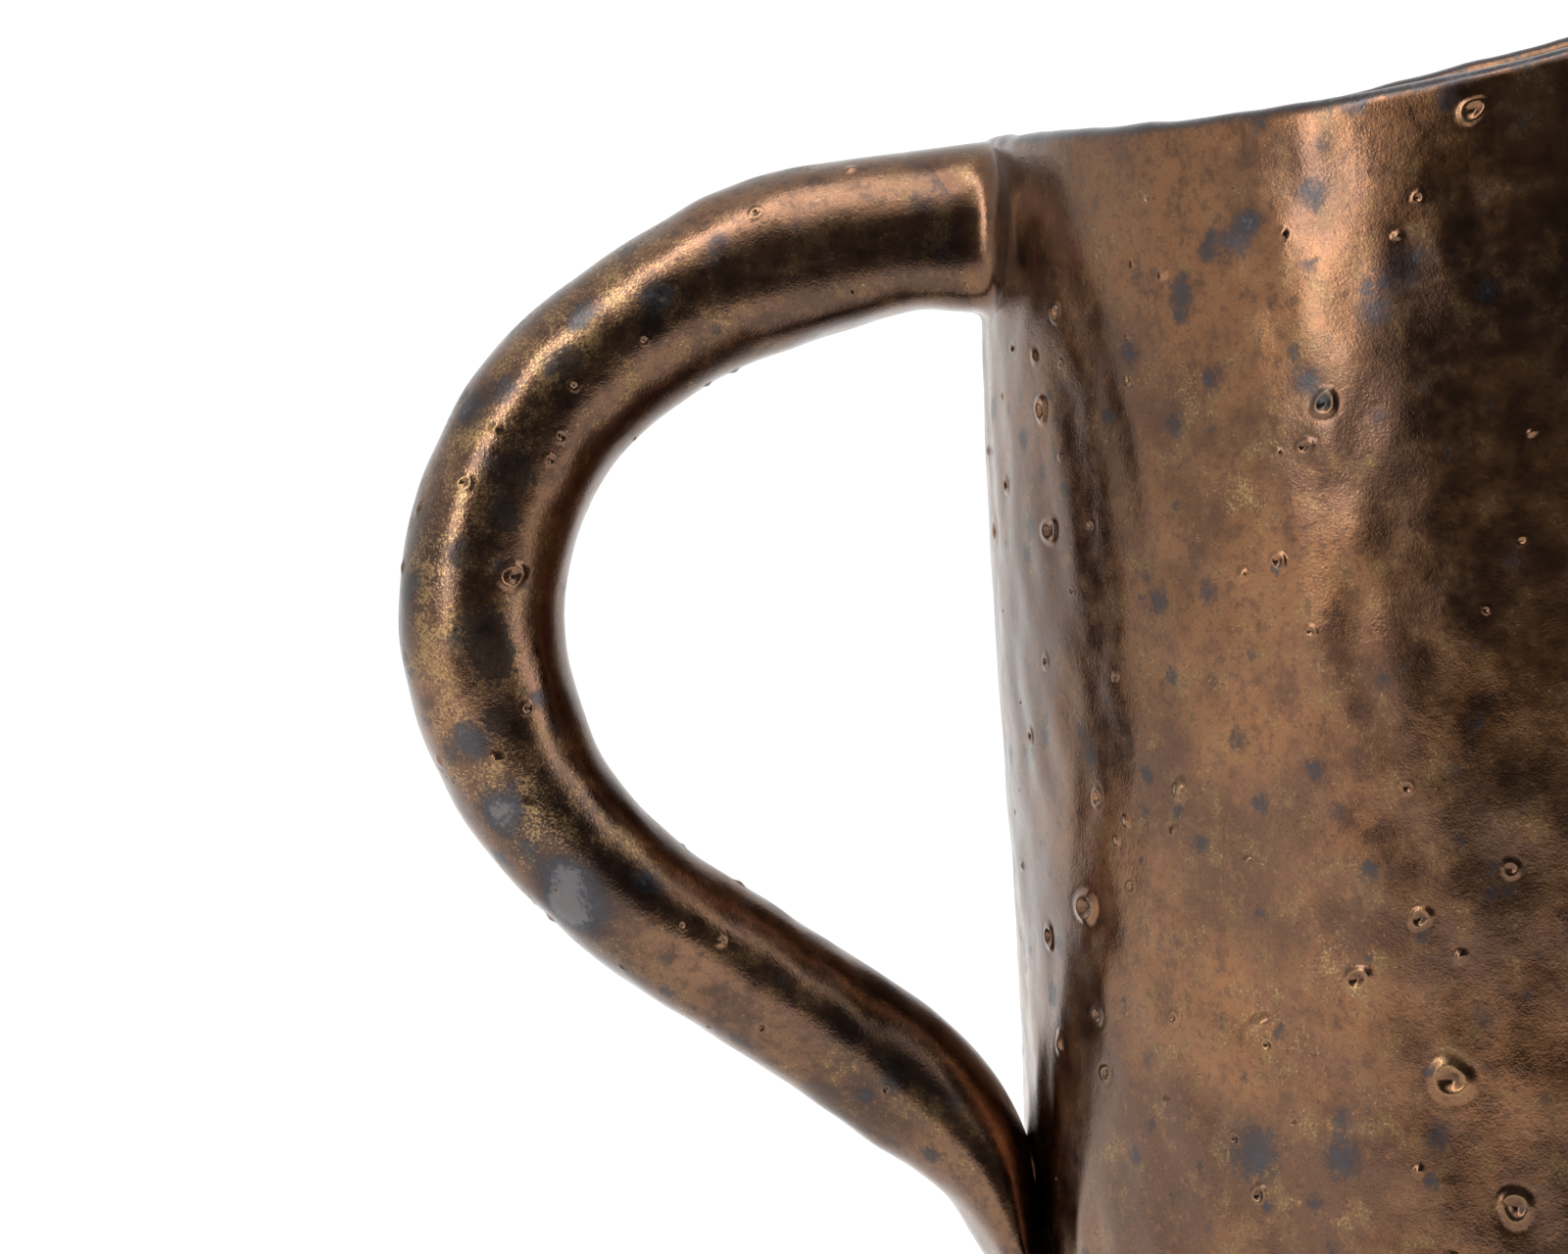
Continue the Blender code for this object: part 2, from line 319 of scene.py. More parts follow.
@dataclass
class Sheet:
    """A flat sheet: a grid of points that gives way to circles of points around each mark."""

    grid: Array
    marks: list[Mark]
    borders: Array = field(default_factory=lambda: np.zeros((0, 2)))
    border_edges: Array = field(default_factory=lambda: np.zeros((0, 2), int))
    fine_radius: float = 0.75 * MM
    clearance: float = 0.3 * MM

    def build(self) -> tuple[Array, Array]:
        """Put the points together and cut the sheet into Delaunay triangles.

        Returns:
            The flat points, the border's first, and the triangles as rows of three point numbers.
        """
        keep = np.ones(len(self.grid), bool)
        circles = []
        for mark in self.marks:
            keep &= mark.distance(self.grid) > mark.REACH
            circles.append(mark.points(mark.radius > self.fine_radius))
        for point in self.borders:
            keep &= np.hypot(*(self.grid - point).T) > self.clearance
        points = np.vstack([self.borders, self.grid[keep], *circles])
        corners, _, triangles, _, _, _ = delaunay_2d_cdt(
            points / MM, self.border_edges.tolist(), [], KEEP_HULL, NEAREST_MM, True)
        if len(corners) != len(points):
            raise ValueError("two points coincide, or a border crosses itself")
        return points, np.array(triangles)

    def relief(self, flat: Array) -> tuple[Array, Array]:
        """Height and painted shading that the marks give to flat points.

        Args:
            flat: flat points, one a row.

        Returns:
            The height over the sheet and the painted shading, highlight on crests and shade in dimples,
            one of each a point.
        """
        height, painted_shading = np.zeros(len(flat)), np.zeros(len(flat))
        for mark in self.marks:
            share = mark.distance(flat)
            near = np.flatnonzero(share < mark.REACH)
            height[near] += mark.relief(share[near])
            painted_shading[near] += mark.painted_shading(share[near])
        return height, painted_shading


def grid_faces(rows: int, columns: int, ring_rows: bool = False) -> Array:
    """Triangles of a grid of points whose columns go round and close on themselves.

    Args:
        rows: how many points each column has.
        columns: how many columns there are.
        ring_rows: whether the rows close on themselves too.

    Returns:
        The triangles; point (row, column) has the number row * columns + column.
    """
    row, column = np.meshgrid(np.arange(rows if ring_rows else rows - 1), np.arange(columns),
                              indexing="ij")
    a = row * columns + column
    b = row * columns + (column + 1) % columns
    c = (row + 1) % rows * columns + (column + 1) % columns
    d = (row + 1) % rows * columns + column
    return np.concatenate([np.stack([a, b, c], -1).reshape(-1, 3),
                           np.stack([a, c, d], -1).reshape(-1, 3)])


def make_piece(name: str, points: Array, faces: Array, material: bpy.types.Material,
               looks: dict[str, Array] | None = None) -> bpy.types.Object:
    """Make a closed mesh from triangles, join its seams and let it stand for the CAD node of its name.

    Args:
        name: the piece's name, which is also the node's.
        points: all points, one a row; those that no face uses are left out.
        faces: the triangles.
        material: what the piece is dressed in.
        looks: values that the material reads, one a point, by name; those left out are 0.

    Returns:
        The new object.
    """
    used, renumbered = np.unique(faces, return_inverse=True)
    mesh = bpy.data.meshes.new(name)
    mesh.from_pydata(points[used].tolist(), [], renumbered.reshape(-1, 3).tolist())
    for label in LOOKS:
        values = (looks or {}).get(label, np.zeros(len(points)))
        attribute = mesh.attributes.new(label, "FLOAT", "POINT")
        attribute.data.foreach_set("value", values[used].astype(np.float32))
    body = bmesh.new()
    body.from_mesh(mesh)
    bmesh.ops.remove_doubles(body, verts=body.verts, dist=WELD)
    bmesh.ops.recalc_face_normals(body, faces=body.faces)
    body.to_mesh(mesh)
    body.free()
    mesh.shade_smooth()
    mesh.set_sharp_from_angle(angle=SHARP_ANGLE)
    mesh.materials.append(material)
    piece = bpy.data.objects.new(name + "_fired", mesh)
    bpy.context.scene.collection.objects.link(piece)
    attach(piece, BODY)
    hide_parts(name)
    LOG.info("%s: %d triangles", piece.name, len(mesh.polygons))
    return piece


# ---------------------------------------------------------------- finishes

class Bench:
    """Builds one node material; a socket or a plain value can go into any input."""

    def __init__(self, name: str) -> None:
        """Start a node material that has only a Principled shader.

        Args:
            name: the material's name.
        """
        self.material = bpy.data.materials.new(name)
        self.material.use_nodes = True
        self.tree = self.material.node_tree
        self.shader = self.tree.nodes["Principled BSDF"]
        self.here = self.add("ShaderNodeTexCoord").outputs["Object"]

    def add(self, kind: str, inputs: dict[str | int, object] | None = None,
            **settings: object) -> bpy.types.Node:
        """Add a node.

        Args:
            kind: the node's type.
            inputs: what goes into its inputs, by name or number.
            settings: the node's own properties.

        Returns:
            The node.
        """
        node = self.tree.nodes.new(kind)
        for key, value in settings.items():
            setattr(node, key, value)
        for key, value in (inputs or {}).items():
            if isinstance(value, Socket):
                self.tree.links.new(value, node.inputs[key])
            else:
                node.inputs[key].default_value = value
        return node

    def noise(self, size: float, detail: float = 2.0, rough: float = 0.5) -> Socket:
        """Cloudy noise.

        Args:
            size: how far across its patches are.
            detail: how many finer noises are added to it.
            rough: how strong the finer ones are.

        Returns:
            A value around 0.5.
        """
        wanted = {"Vector": self.here, "Scale": 1 / size, "Detail": detail, "Roughness": rough}
        return self.add("ShaderNodeTexNoise", wanted).outputs["Fac"]

    def band(self, value: Socket, low: float, high: float,
             to_low: float = 0.0, to_high: float = 1.0) -> Socket:
        """Smooth step of a value, taken to a range.

        Args:
            value: what is read.
            low: where the step begins; above high, it runs the other way.
            high: where the step ends.
            to_low: the result at low.
            to_high: the result at high.

        Returns:
            The result.
        """
        wanted = {"Value": value, "From Min": low, "From Max": high, "To Min": to_low,
                  "To Max": to_high}
        return self.add("ShaderNodeMapRange", wanted, interpolation_type="SMOOTHSTEP").outputs[0]

    def math(self, operation: str, first: object, second: object = 0.0) -> Socket:
        """One sum on two values."""
        return self.add("ShaderNodeMath", {0: first, 1: second}, operation=operation).outputs[0]

    def blend(self, share: object, first: object, second: object) -> Socket:
        """Mix two colours.

        Args:
            share: how much of the second goes in.
            first: the colour at 0.
            second: the colour at 1.

        Returns:
            The mixed colour.
        """
        wanted = {"Factor": share, "A": first, "B": second}
        node = self.add("ShaderNodeMix", data_type="RGBA")
        for key, value in wanted.items():
            socket = next(s for s in node.inputs
                          if s.name == key and s.type == ("VALUE" if key == "Factor" else "RGBA"))
            if isinstance(value, Socket):
                self.tree.links.new(value, socket)
            else:
                socket.default_value = value
        return next(s for s in node.outputs if s.type == "RGBA")

    def attribute(self, name: str) -> Socket:
        """A value that the mesh holds at each point."""
        return self.add("ShaderNodeAttribute", attribute_name=name).outputs["Fac"]

    def height(self) -> Socket:
        """Height over the table."""
        return self.add("ShaderNodeSeparateXYZ", {0: self.here}).outputs["Z"]

    def bump(self, height: Socket, depth: float,
             under: Socket | None = None) -> Socket:
        """Tilt the surface as a fine relief would.

        Args:
            height: the relief, between 0 and 1.
            depth: how deep the relief is.
            under: another bump that this one is added to.

        Returns:
            The tilted normal.
        """
        wanted = {"Height": height, "Strength": 1.0, "Distance": depth}
        if under is not None:
            wanted["Normal"] = under
        return self.add("ShaderNodeBump", wanted).outputs[0]

    def finish(self, **inputs: object) -> bpy.types.Material:
        """Feed the shader.

        Args:
            inputs: sockets or plain values by the shader's input, with _ for each space.

        Returns:
            The finished material.
        """
        for key, value in inputs.items():
            socket = self.shader.inputs[key.replace("_", " ")]
            if isinstance(value, Socket):
                self.tree.links.new(value, socket)
            else:
                socket.default_value = value
        return self.material


@dataclass(frozen=True)
class BronzeGlaze:
    """Metallic lustre glaze: copper where it is thin, brown-black where it pooled, blue-grey blooms. It
    also carries painted light: gold highlights on crests and where the left strip light's reflection
    falls, painted shade in dimples and on the rod, and a pale painted reflection along the rim.
    """

    name: str
    copper: Color = (0.194, 0.090, 0.041, 1)
    brown: Color = (0.092, 0.047, 0.028, 1)
    olive: Color = (0.165, 0.094, 0.042, 1)
    # The darkest colour: black freckles, and painted shade in the marks' dimples and on the rod.
    darkening: Color = (0.018, 0.014, 0.013, 1)
    slate: Color = (0.023, 0.023, 0.028, 1)
    steel: Color = (0.034, 0.038, 0.046, 1)
    # Ash grey: the middle of the strongest blooms, and the pale painted reflection along the rim.
    ash: Color = (0.095, 0.088, 0.092, 1)
    # Gold: specks and flakes, and painted highlights on the marks' crests and where the left strip
    # light's reflection falls.
    gold: Color = (0.300, 0.190, 0.085, 1)
    roughness: float = 0.19
    ripple: float = 0.028 * MM
    grit: float = 0.012 * MM
    gloss: float = 0.22
    gloss_roughness: float = 0.10
    ash_from: tuple[float, float] = (1.1, 1.7)
    clay_below: float | None = None
    clay: Color = (0.150, 0.105, 0.078, 1)

    def material(self) -> bpy.types.Material:
        """Build the node material.

        Returns:
            A material that reads the mesh's painted shading of the marks, its blooms with the painted rim
            reflection, its darkening and its painted highlights.
        """
        bench = Bench(self.name)
        painted_shading, bloom_and_rim_sheen, darkening, painted_highlight = (bench.attribute(label) for label in LOOKS)
        mottle = bench.noise(2.6 * MM, 4.0, 0.62)
        grain = bench.noise(0.42 * MM, 3.0, 0.6)
        dust = bench.noise(0.20 * MM, 2.0, 0.7)
        ragged = bench.math("MULTIPLY_ADD", bench.math("ADD", grain, mottle), 1.3)
        ragged.node.inputs[2].default_value = -1.3
        blown = bench.math("ADD", bloom_and_rim_sheen, ragged)
        # Darkening from the mesh's values; on the rod it is partly painted shade, laid where its near
        # side mirrors the dark shade cards.
        black = bench.band(bench.math("ADD", darkening, ragged), 0.30, 0.70)

        color = self.ground(bench, mottle, grain)
        color = self.gold_dust_and_highlights(bench, color, (mottle, grain, dust), painted_highlight)
        color = self.blooms(bench, color, blown)
        color = bench.blend(bench.math("MULTIPLY", black, 0.85), color, self.darkening)
        # Painted highlight in gold on the marks' crests, and painted shade in their dimples.
        color = bench.blend(bench.band(painted_shading, 0.35, 0.9, 0, 0.25), color, self.gold)
        color = bench.blend(bench.band(painted_shading, -0.25, -0.9, 0, 0.45), color, self.darkening)

        rough = bench.band(mottle, 0.30, 0.70, self.roughness - 0.05, self.roughness + 0.09)
        rough = bench.math("ADD", rough, bench.math("MULTIPLY", bench.band(blown, 0.22, 0.75), 0.08))
        rough = bench.math("ADD", rough, bench.math("MULTIPLY", black, 0.12))
        tilt = bench.bump(bench.noise(1.5 * MM, 4.0, 0.58), self.ripple)
        tilt = bench.bump(dust, self.grit, tilt)
        metal = bench.band(blown, *self.ash_from, 1.0, 0.6)
        if self.clay_below is not None:
            edge = bench.math("ADD", bench.height(), bench.math("MULTIPLY", mottle, 1.2 * MM))
            bare = bench.band(edge, self.clay_below + 0.9 * MM, self.clay_below + 0.5 * MM)
            sandy = bench.blend(bench.band(grain, 0.35, 0.65), self.clay, self.brown)
            color = bench.blend(bare, color, sandy)
            rough = bench.math("ADD", rough, bench.math("MULTIPLY", bare, 0.55))
            metal = bench.math("MULTIPLY", metal, bench.math("SUBTRACT", 1.0, bare))
        return bench.finish(Base_Color=color, Metallic=metal, Roughness=rough, Normal=tilt,
                            Coat_Weight=self.gloss, Coat_Roughness=self.gloss_roughness, Coat_Normal=tilt)

    def ground(self, bench: Bench, mottle: Socket, grain: Socket) -> Socket:
        """Brown and copper clouds of four sizes, with an olive mottle.

        Args:
            bench: where the material is built.
            mottle: noise of a few millimetres.
            grain: noise of less than a millimetre.

        Returns:
            The colour.
        """
        drift = bench.noise(13 * MM, 3.0)
        fine = bench.noise(0.85 * MM, 3.0, 0.65)
        patches = bench.math("ADD", bench.noise(5.5 * MM, 5.0, 0.62), bench.math("MULTIPLY", grain, 0.2))
        color = bench.blend(bench.band(drift, 0.36, 0.66), self.brown, self.copper)
        color = bench.blend(bench.band(mottle, 0.48, 0.70, 0, 0.75), color, self.olive)
        color = bench.blend(bench.band(mottle, 0.47, 0.30, 0, 0.85), color, self.brown)
        color = bench.blend(bench.band(fine, 0.50, 0.34, 0, 0.6), color, self.brown)
        color = bench.blend(bench.band(fine, 0.55, 0.70, 0, 0.5), color, self.copper)
        return bench.blend(bench.band(patches, 0.52, 0.40, 0, 0.7), color, self.brown)

    def gold_dust_and_highlights(self, bench: Bench, color: Socket, noises: tuple[Socket, Socket, Socket],
                  painted_highlight: Socket) -> Socket:
        """Gold specks and flakes, and black freckles; the flakes thicken into painted highlights where
        the mesh's painted highlight value is high.

        Args:
            bench: where the material is built.
            color: what lies under the dust.
            noises: the mottle, the grain and the dust, from coarse to fine.
            painted_highlight: the mesh's painted highlight value.

        Returns:
            The colour.
        """
        mottle, grain, dust = noises
        specks = bench.math("MULTIPLY", bench.band(dust, 0.56, 0.70), bench.band(grain, 0.44, 0.66))
        color = bench.blend(bench.math("MULTIPLY", specks, 0.25), color, self.gold)
        flakes = bench.math("ADD", bench.math("MULTIPLY", dust, 0.6), bench.math("MULTIPLY", mottle, 0.4))
        # Painted highlight: the flakes thicken where the left strip light's reflection falls.
        flakes = bench.math("ADD", flakes, bench.math("MULTIPLY", painted_highlight, 0.085))
        color = bench.blend(bench.band(flakes, 0.59, 0.67, 0, 0.75), color, self.gold)
        freckles = bench.math("MULTIPLY", bench.band(dust, 0.46, 0.34), bench.band(grain, 0.55, 0.36))
        return bench.blend(bench.math("MULTIPLY", freckles, 0.6), color, self.darkening)

    def blooms(self, bench: Bench, color: Socket, blown: Socket) -> Socket:
        """Blue-grey blooms: slate at the edge, steel inside, and ash in the middle of the strongest;
        along the body's rim the same colours paint a pale reflection with darker edges.

        Args:
            bench: where the material is built.
            color: what lies under the blooms.
            blown: how strong the blooms are, with a ragged edge; along the body's rim it also holds the
                painted reflection.

        Returns:
            The colour.
        """
        cloud = bench.band(blown, 0.22, 0.75)
        color = bench.blend(bench.math("MULTIPLY", cloud, 0.6), color, self.slate)
        inside = bench.blend(bench.band(blown, *self.ash_from), self.steel, self.ash)
        return bench.blend(bench.band(blown, 0.55, 1.15, 0, 0.75), color, inside)


# ---------------------------------------------------------------- body

@dataclass(frozen=True)
class BodyOutline:
    """Sizes of the round body and the formulas of its faces. Angles are from the spout's middle."""

    rim_radius: float
    foot: float
    rim_height: float = 105 * MM
    waist_radius: float = 43.6 * MM
    foot_flare: float = 0.8 * MM
    waist_height: float = 25 * MM
    straight_neck: float = 10 * MM
    wall: float = 3.8 * MM
    rim_thickness: float = 2.2 * MM
    spout_rise: float = 21.4 * MM
    rim_ease: float = 30 * MM
    beak_reach: float = 14 * MM
    beak_depth: float = 42 * MM
    beak_spread: float = 0.36
    beak_curve: float = 1.7

    @classmethod
    def from_frame(cls) -> "BodyOutline":
        """Read the sizes that the frame shows: the rim's radius and the height of the slab."""
        return cls(rim_radius=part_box("body_wall")[1].y, foot=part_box("base_slab")[1].z)

    def round_radius(self, height: Array) -> Array:
        """Outer radius without the beak: the waist, an eased step out to the rim, a flare at the foot.

        Args:
            height: heights over the table.

        Returns:
            One radius a height.
        """
        span = self.rim_height - self.straight_neck - self.waist_height
        radius = self.waist_radius + (self.rim_radius - self.waist_radius) * ease(
            (height - self.waist_height) / span)
        return radius + self.foot_flare * np.clip(1 - height / self.waist_height, 0, 1) ** 2

    def beak(self, angle: Array) -> Array:
        """How far the lip stands out past the round rim: a bell curve of the angle."""
        return self.beak_reach * bell(angle, self.beak_spread)

    def top(self, angle: Array) -> Array:
        """Height where the rim's rounding begins: a hyperbola of the run from handle to spout.

        Args:
            angle: angles from the spout's middle.

        Returns:
            One height an angle.
        """
        run = ((self.rim_radius + self.beak(angle)) * np.cos(angle) + self.rim_radius) / self.rim_ease
        full_run = 2 * self.rim_radius / self.rim_ease
        climb = (np.hypot(1, run) - 1) / (math.hypot(1, full_run) - 1)
        return self.rim_height + self.spout_rise * climb - self.rim_thickness / 2

    def outer(self, angle: Array, height: Array) -> Array:
        """Radius of the outer face: the round body and the beak, a power of the lift to the lip."""
        lift = 1 + (height - self.top(angle) - self.rim_thickness / 2) / self.beak_depth
        return self.round_radius(height) + self.beak(angle) * np.clip(lift, 0, None) ** self.beak_curve

    def inner(self, angle: Array, height: Array, clear: float = 0.0) -> Array:
        """Radius of the inner face: the outer radius less the wall's thickness, which thins upwards.

        Args:
            angle: angles from the spout's middle.
            height: heights over the table.
            clear: a clearance that is taken off as well.

        Returns:
            One radius a place.
        """
        share = (height - self.foot) / (self.top(angle) - self.foot)
        thickness = self.wall + (self.rim_thickness - self.wall) * share
        slope = 2 * angle / self.beak_spread**2 * self.beak(angle) * share**2 / self.rim_radius
        return self.outer(angle, height) - (thickness + clear) * np.hypot(1, slope)


# What stands out on the near side of the wall: height in mm, degrees from the handle, radius in mm
NEAR_MARKS = {
    MarkKind.RING: [
        (85.2, 18.9, 1.11), (76.6, 19.7, 1.26), (79.7, 8.9, 0.83), (85.8, 55.0, 1.04),
        (82.8, 53.0, 0.71), (105.9, 68.3, 1.12), (39.1, 65.5, 1.64), (49.8, 22.2, 1.50),
        (47.3, 13.3, 1.07), (45.9, 56.6, 1.08), (50.3, 62.9, 0.89), (53.8, 71.2, 0.70),
        (30.4, 71.4, 1.36), (61.7, 12.0, 0.88), (67.2, 17.3, 0.68),
    ],
    MarkKind.PIT: [
        (89.6, 12.4, 0.68), (42.1, 23.3, 0.92), (76.4, 72.4, 0.47), (57.7, 25.4, 0.82),
        (41.0, 46.9, 0.66), (38.0, 24.4, 0.77), (100.0, 35.9, 0.52),
    ],
    MarkKind.BLISTER: [
        (94.8, 37.9, 0.67), (95.6, 34.0, 0.48), (42.4, 46.1, 0.90), (82.1, 0.6, 0.59), (83.9, 73.3, 0.47),
        (58.6, 37.8, 0.86), (73.9, 46.3, 0.52), (47.7, 66.5, 0.56), (97.5, 51.0, 0.57),
    ],
}
NEAR_STAINS = [
    (92.9, 40.1, 1.43), (89.2, 33.3, 1.24), (87.7, 43.5, 1.23), (87.5, 53.1, 1.32), (97.2, 46.1, 2.08),
    (95.3, 62.3, 2.16), (33.4, 54.8, 1.88), (33.5, 45.2, 2.65), (100.4, 53.8, 1.51), (84.3, 38.7, 1.05),
    (72.5, 42.5, 1.14), (71.9, 36.3, 1.14), (57.9, 47.2, 0.95), (35.2, 64.2, 1.31), (91.9, 59.5, 1.41),
]
# Painted highlights on the near side: gold where the left strip light's reflection falls, as height in
# mm, degrees from the handle and radius in mm.
NEAR_PAINTED_HIGHLIGHTS = [
    (42.8, 46.0, 2.2), (46.5, 55.0, 2.0), (41.0, 51.5, 1.6), (88.0, 41.0, 2.4), (79.5, 46.0, 2.2),
]


@dataclass
class JugBody:
    """The round wall and the pouring spout, cut from one sheet along the seam of the spout.

    On the sheet, across is the angle times reference, and along runs up the outer face, over the rim,
    down the inner face and back under the foot.
    """

    outline: BodyOutline
    finish: BronzeGlaze
    reference: float = 46 * MM
    face: float = 110 * MM
    start_angle: float = -1.5 * math.pi
    seam_angle: float = 0.51
    seam_point: float = 84.6 * MM
    seam_shoulder: float = 0.92
    seam_groove: float = 0.09 * MM
    overlap: float = 0.35 * MM
    overlap_run: float = 1.5 * MM
    near_from: float = math.radians(-205)
    near_to: float = math.radians(-62)
    columns: tuple[int, int, int] = (48, 190, 122)  # behind the handle, on the near side, on the far side
    outer_rows: int = 138
    rim_rows: int = 10
    lip: float = 5 * MM
    lip_rows: int = 6
    inner_rows: int = 60
    seam_points: int = 50
    upright_points: int = 13
    over_points: int = 9
    mark_tries: int = 190
    stain_count: int = 1150
    seed: int = 21
    over: float = field(init=False)
    under: float = field(init=False)
    length: float = field(init=False)

    def __post_init__(self) -> None:
        """Work out the stretches of the sheet along its second axis."""
        self.over = math.pi * self.outline.rim_thickness / 2
        self.under = self.outline.wall
        self.length = 2 * self.face + self.over + self.under

    def place(self, flat: Array) -> Array:
        """Carry flat points on to the smooth body.

        The height is a share of the way from foot to rim on either face; over the rim the section is
        half an ellipse; under the foot it is a straight line back to the outer face.

        Args:
            flat: (across, along) points, one a row.

        Returns:
            Points in space, one a row.
        """
        outline = self.outline
        angle, along = flat[:, 0] / self.reference, flat[:, 1] % self.length
        top = outline.top(angle)
        up = np.clip(along / self.face, 0, 1)
        down = np.clip((2 * self.face + self.over - along) / self.face, 0, 1)
        outside = along < self.face + self.over / 2
        height = outline.foot + (top - outline.foot) * np.where(outside, up, down)
        outer, inner = outline.outer(angle, height), outline.inner(angle, height)
        height = height - self.overlap * np.clip(1 - (height - outline.foot) / self.overlap_run, 0, 1)
        radius = np.where(outside, outer, inner)
        bow = math.pi * (along - self.face) / self.over
        on_rim = (bow > 0) & (bow < math.pi)
        radius = np.where(on_rim, (outer + inner) / 2 + (outer - inner) / 2 * np.cos(bow), radius)
        height = height + np.where(on_rim, outline.rim_thickness / 2 * np.sin(bow), 0)
        back = np.clip((along - 2 * self.face - self.over) / self.under, 0, 1)
        radius = radius + (outer - inner) * back
        return np.column_stack([radius * np.cos(angle), radius * np.sin(angle), height])

    def flat_point(self, angle: Array, height: Array) -> Array:
        """Flat point of a place on the outer face, from its angle and height."""
        share = (height - self.outline.foot) / (self.outline.top(angle) - self.outline.foot)
        return np.column_stack([angle * self.reference, share * self.face])

    def near_point(self, height: float, degrees: float) -> tuple[float, float]:
        """Flat point of a place on the near side.

        Args:
            height: height over the table in mm.
            degrees: degrees from the handle.

        Returns:
            How far across and along the sheet it is.
        """
        angle = np.array([math.radians(degrees - 180)])
        across, along = self.flat_point(angle, np.array([height * MM]))[0]
        return across, along

    def seam_side(self, side: int) -> tuple[Array, Array, Array]:
        """One side of the spout's seam, as flat points from the point of the V up to the rim.

        Args:
            side: 1 or -1, for the far or the near side.

        Returns:
            The points on the outer face, those over the rim and those on the inner face.
        """
        shares = np.linspace(0, 1, self.seam_points)
        top = self.outline.top(np.array([self.seam_angle]))[0]
        shoulder = self.outline.foot + (top - self.outline.foot) * self.seam_shoulder
        heights = self.seam_point + (shoulder - self.seam_point) * shares
        slant = self.flat_point(side * self.seam_angle * shares, heights)
        upright = np.linspace(self.seam_shoulder, 1, self.upright_points)[1:] * self.face
        column = np.full(len(upright), side * self.seam_angle * self.reference)
        outside = np.vstack([slant, np.column_stack([column, upright])])
        rim = np.linspace(0, self.over, self.over_points)[1:-1] + self.face
        over = np.column_stack([np.full(len(rim), column[0]), rim])
        inside = np.column_stack([outside[:, 0], 2 * self.face + self.over - outside[:, 1]])
        return outside, over, inside

    def seam(self) -> tuple[Array, Array, Array]:
        """The whole seam of the spout.

        Returns:
            Its flat points in a closed loop, the edges between them, and the triangles that close the
            cut between the outer and the inner face.
        """
        far, near = self.seam_side(1), self.seam_side(-1)
        count, rim = len(far[0]), len(far[1])
        loop = np.vstack([far[0], far[1], far[2][::-1], near[2][1:], near[1][::-1], near[0][:0:-1]])
        numbers = np.arange(len(loop))
        edges = np.column_stack([numbers, np.roll(numbers, -1)])
        half = 2 * count + rim
        far_out, far_in = numbers[:count], numbers[count + rim:half][::-1]
        near_in = np.concatenate([[half - 1], numbers[half:half + count - 1]])
        near_out = np.concatenate([[0], numbers[half + count - 1 + rim:][::-1]])
        walls = []
        for out, back in ((far_out, far_in), (near_out, near_in)):
            walls.append(np.column_stack([out[:-1], out[1:], back[1:]]))
            walls.append(np.column_stack([out[:-1], back[1:], back[:-1]]))
        for first, last in ((count - 1, count + rim), (half + count - 2, half + count - 1 + rim)):
            fan = numbers[first + 1:last]
            walls.append(np.column_stack([np.full(len(fan), first), fan, fan + 1]))
        return loop, edges, np.vstack(walls)

    def grid(self) -> Array:
        """Flat grid: fine on the near side and by the handle, coarser round the back and inside.

        Returns:
            The flat points, one a row.
        """
        behind, near, far = self.columns
        columns = np.concatenate([
            np.linspace(self.start_angle, self.near_from, behind, endpoint=False),
            np.linspace(self.near_from, self.near_to, near, endpoint=False),
            np.linspace(self.near_to, self.start_angle + math.tau, far),
        ]) * self.reference
        rim_end = self.face + self.over
        up = np.linspace(0, self.face, self.outer_rows, endpoint=False)
        over = np.linspace(self.face, rim_end, self.rim_rows, endpoint=False)
        lip = np.linspace(rim_end, rim_end + self.lip, self.lip_rows, endpoint=False)
        down = np.linspace(rim_end + self.lip, rim_end + self.face, self.inner_rows)
        under = np.array([self.length])
        outside = np.stack(np.meshgrid(columns, np.concatenate([up, over, lip])), -1)
        half_step = np.diff(columns, append=columns[-1]) / 2
        outside[1:self.outer_rows:2, 1:-1, 0] += half_step[1:-1]
        edge_columns = np.unique(np.concatenate([columns[::2], columns[[0, -1]]]))
        inside = np.stack(np.meshgrid(edge_columns, down), -1)
        sill = np.stack(np.meshgrid(columns, under), -1)
        return np.vstack([part.reshape(-1, 2) for part in (outside, inside, sill)])

    def all_marks(self) -> list[Mark]:
        """The marks that are listed, and others scattered over the outer face.

        Returns:
            The marks, clear of the spout's seam.
        """
        placed = [Mark(*self.near_point(height, degrees), radius * MM, kind)
                  for kind, rows in NEAR_MARKS.items() for height, degrees, radius in rows]
        low = ((self.start_angle + 0.06) * self.reference, 3 * MM)
        high = ((self.start_angle + math.tau - 0.06) * self.reference, self.face - 3.2 * MM)
        marks = scattered(np.random.default_rng(self.seed), low, high, self.mark_tries, placed)
        seam = np.vstack([self.seam_side(1)[0], self.seam_side(-1)[0]])
        return [m for m in marks if m.distance(seam).min() > m.REACH + 0.3]

    def placed_spots(self, rows: list[tuple[float, float, float]]) -> list[Spot]:
        """Spots from (height, degrees from the handle, radius) rows."""
        return [Spot(*self.near_point(height, degrees), radius * MM, 0.95)
                for height, degrees, radius in rows]

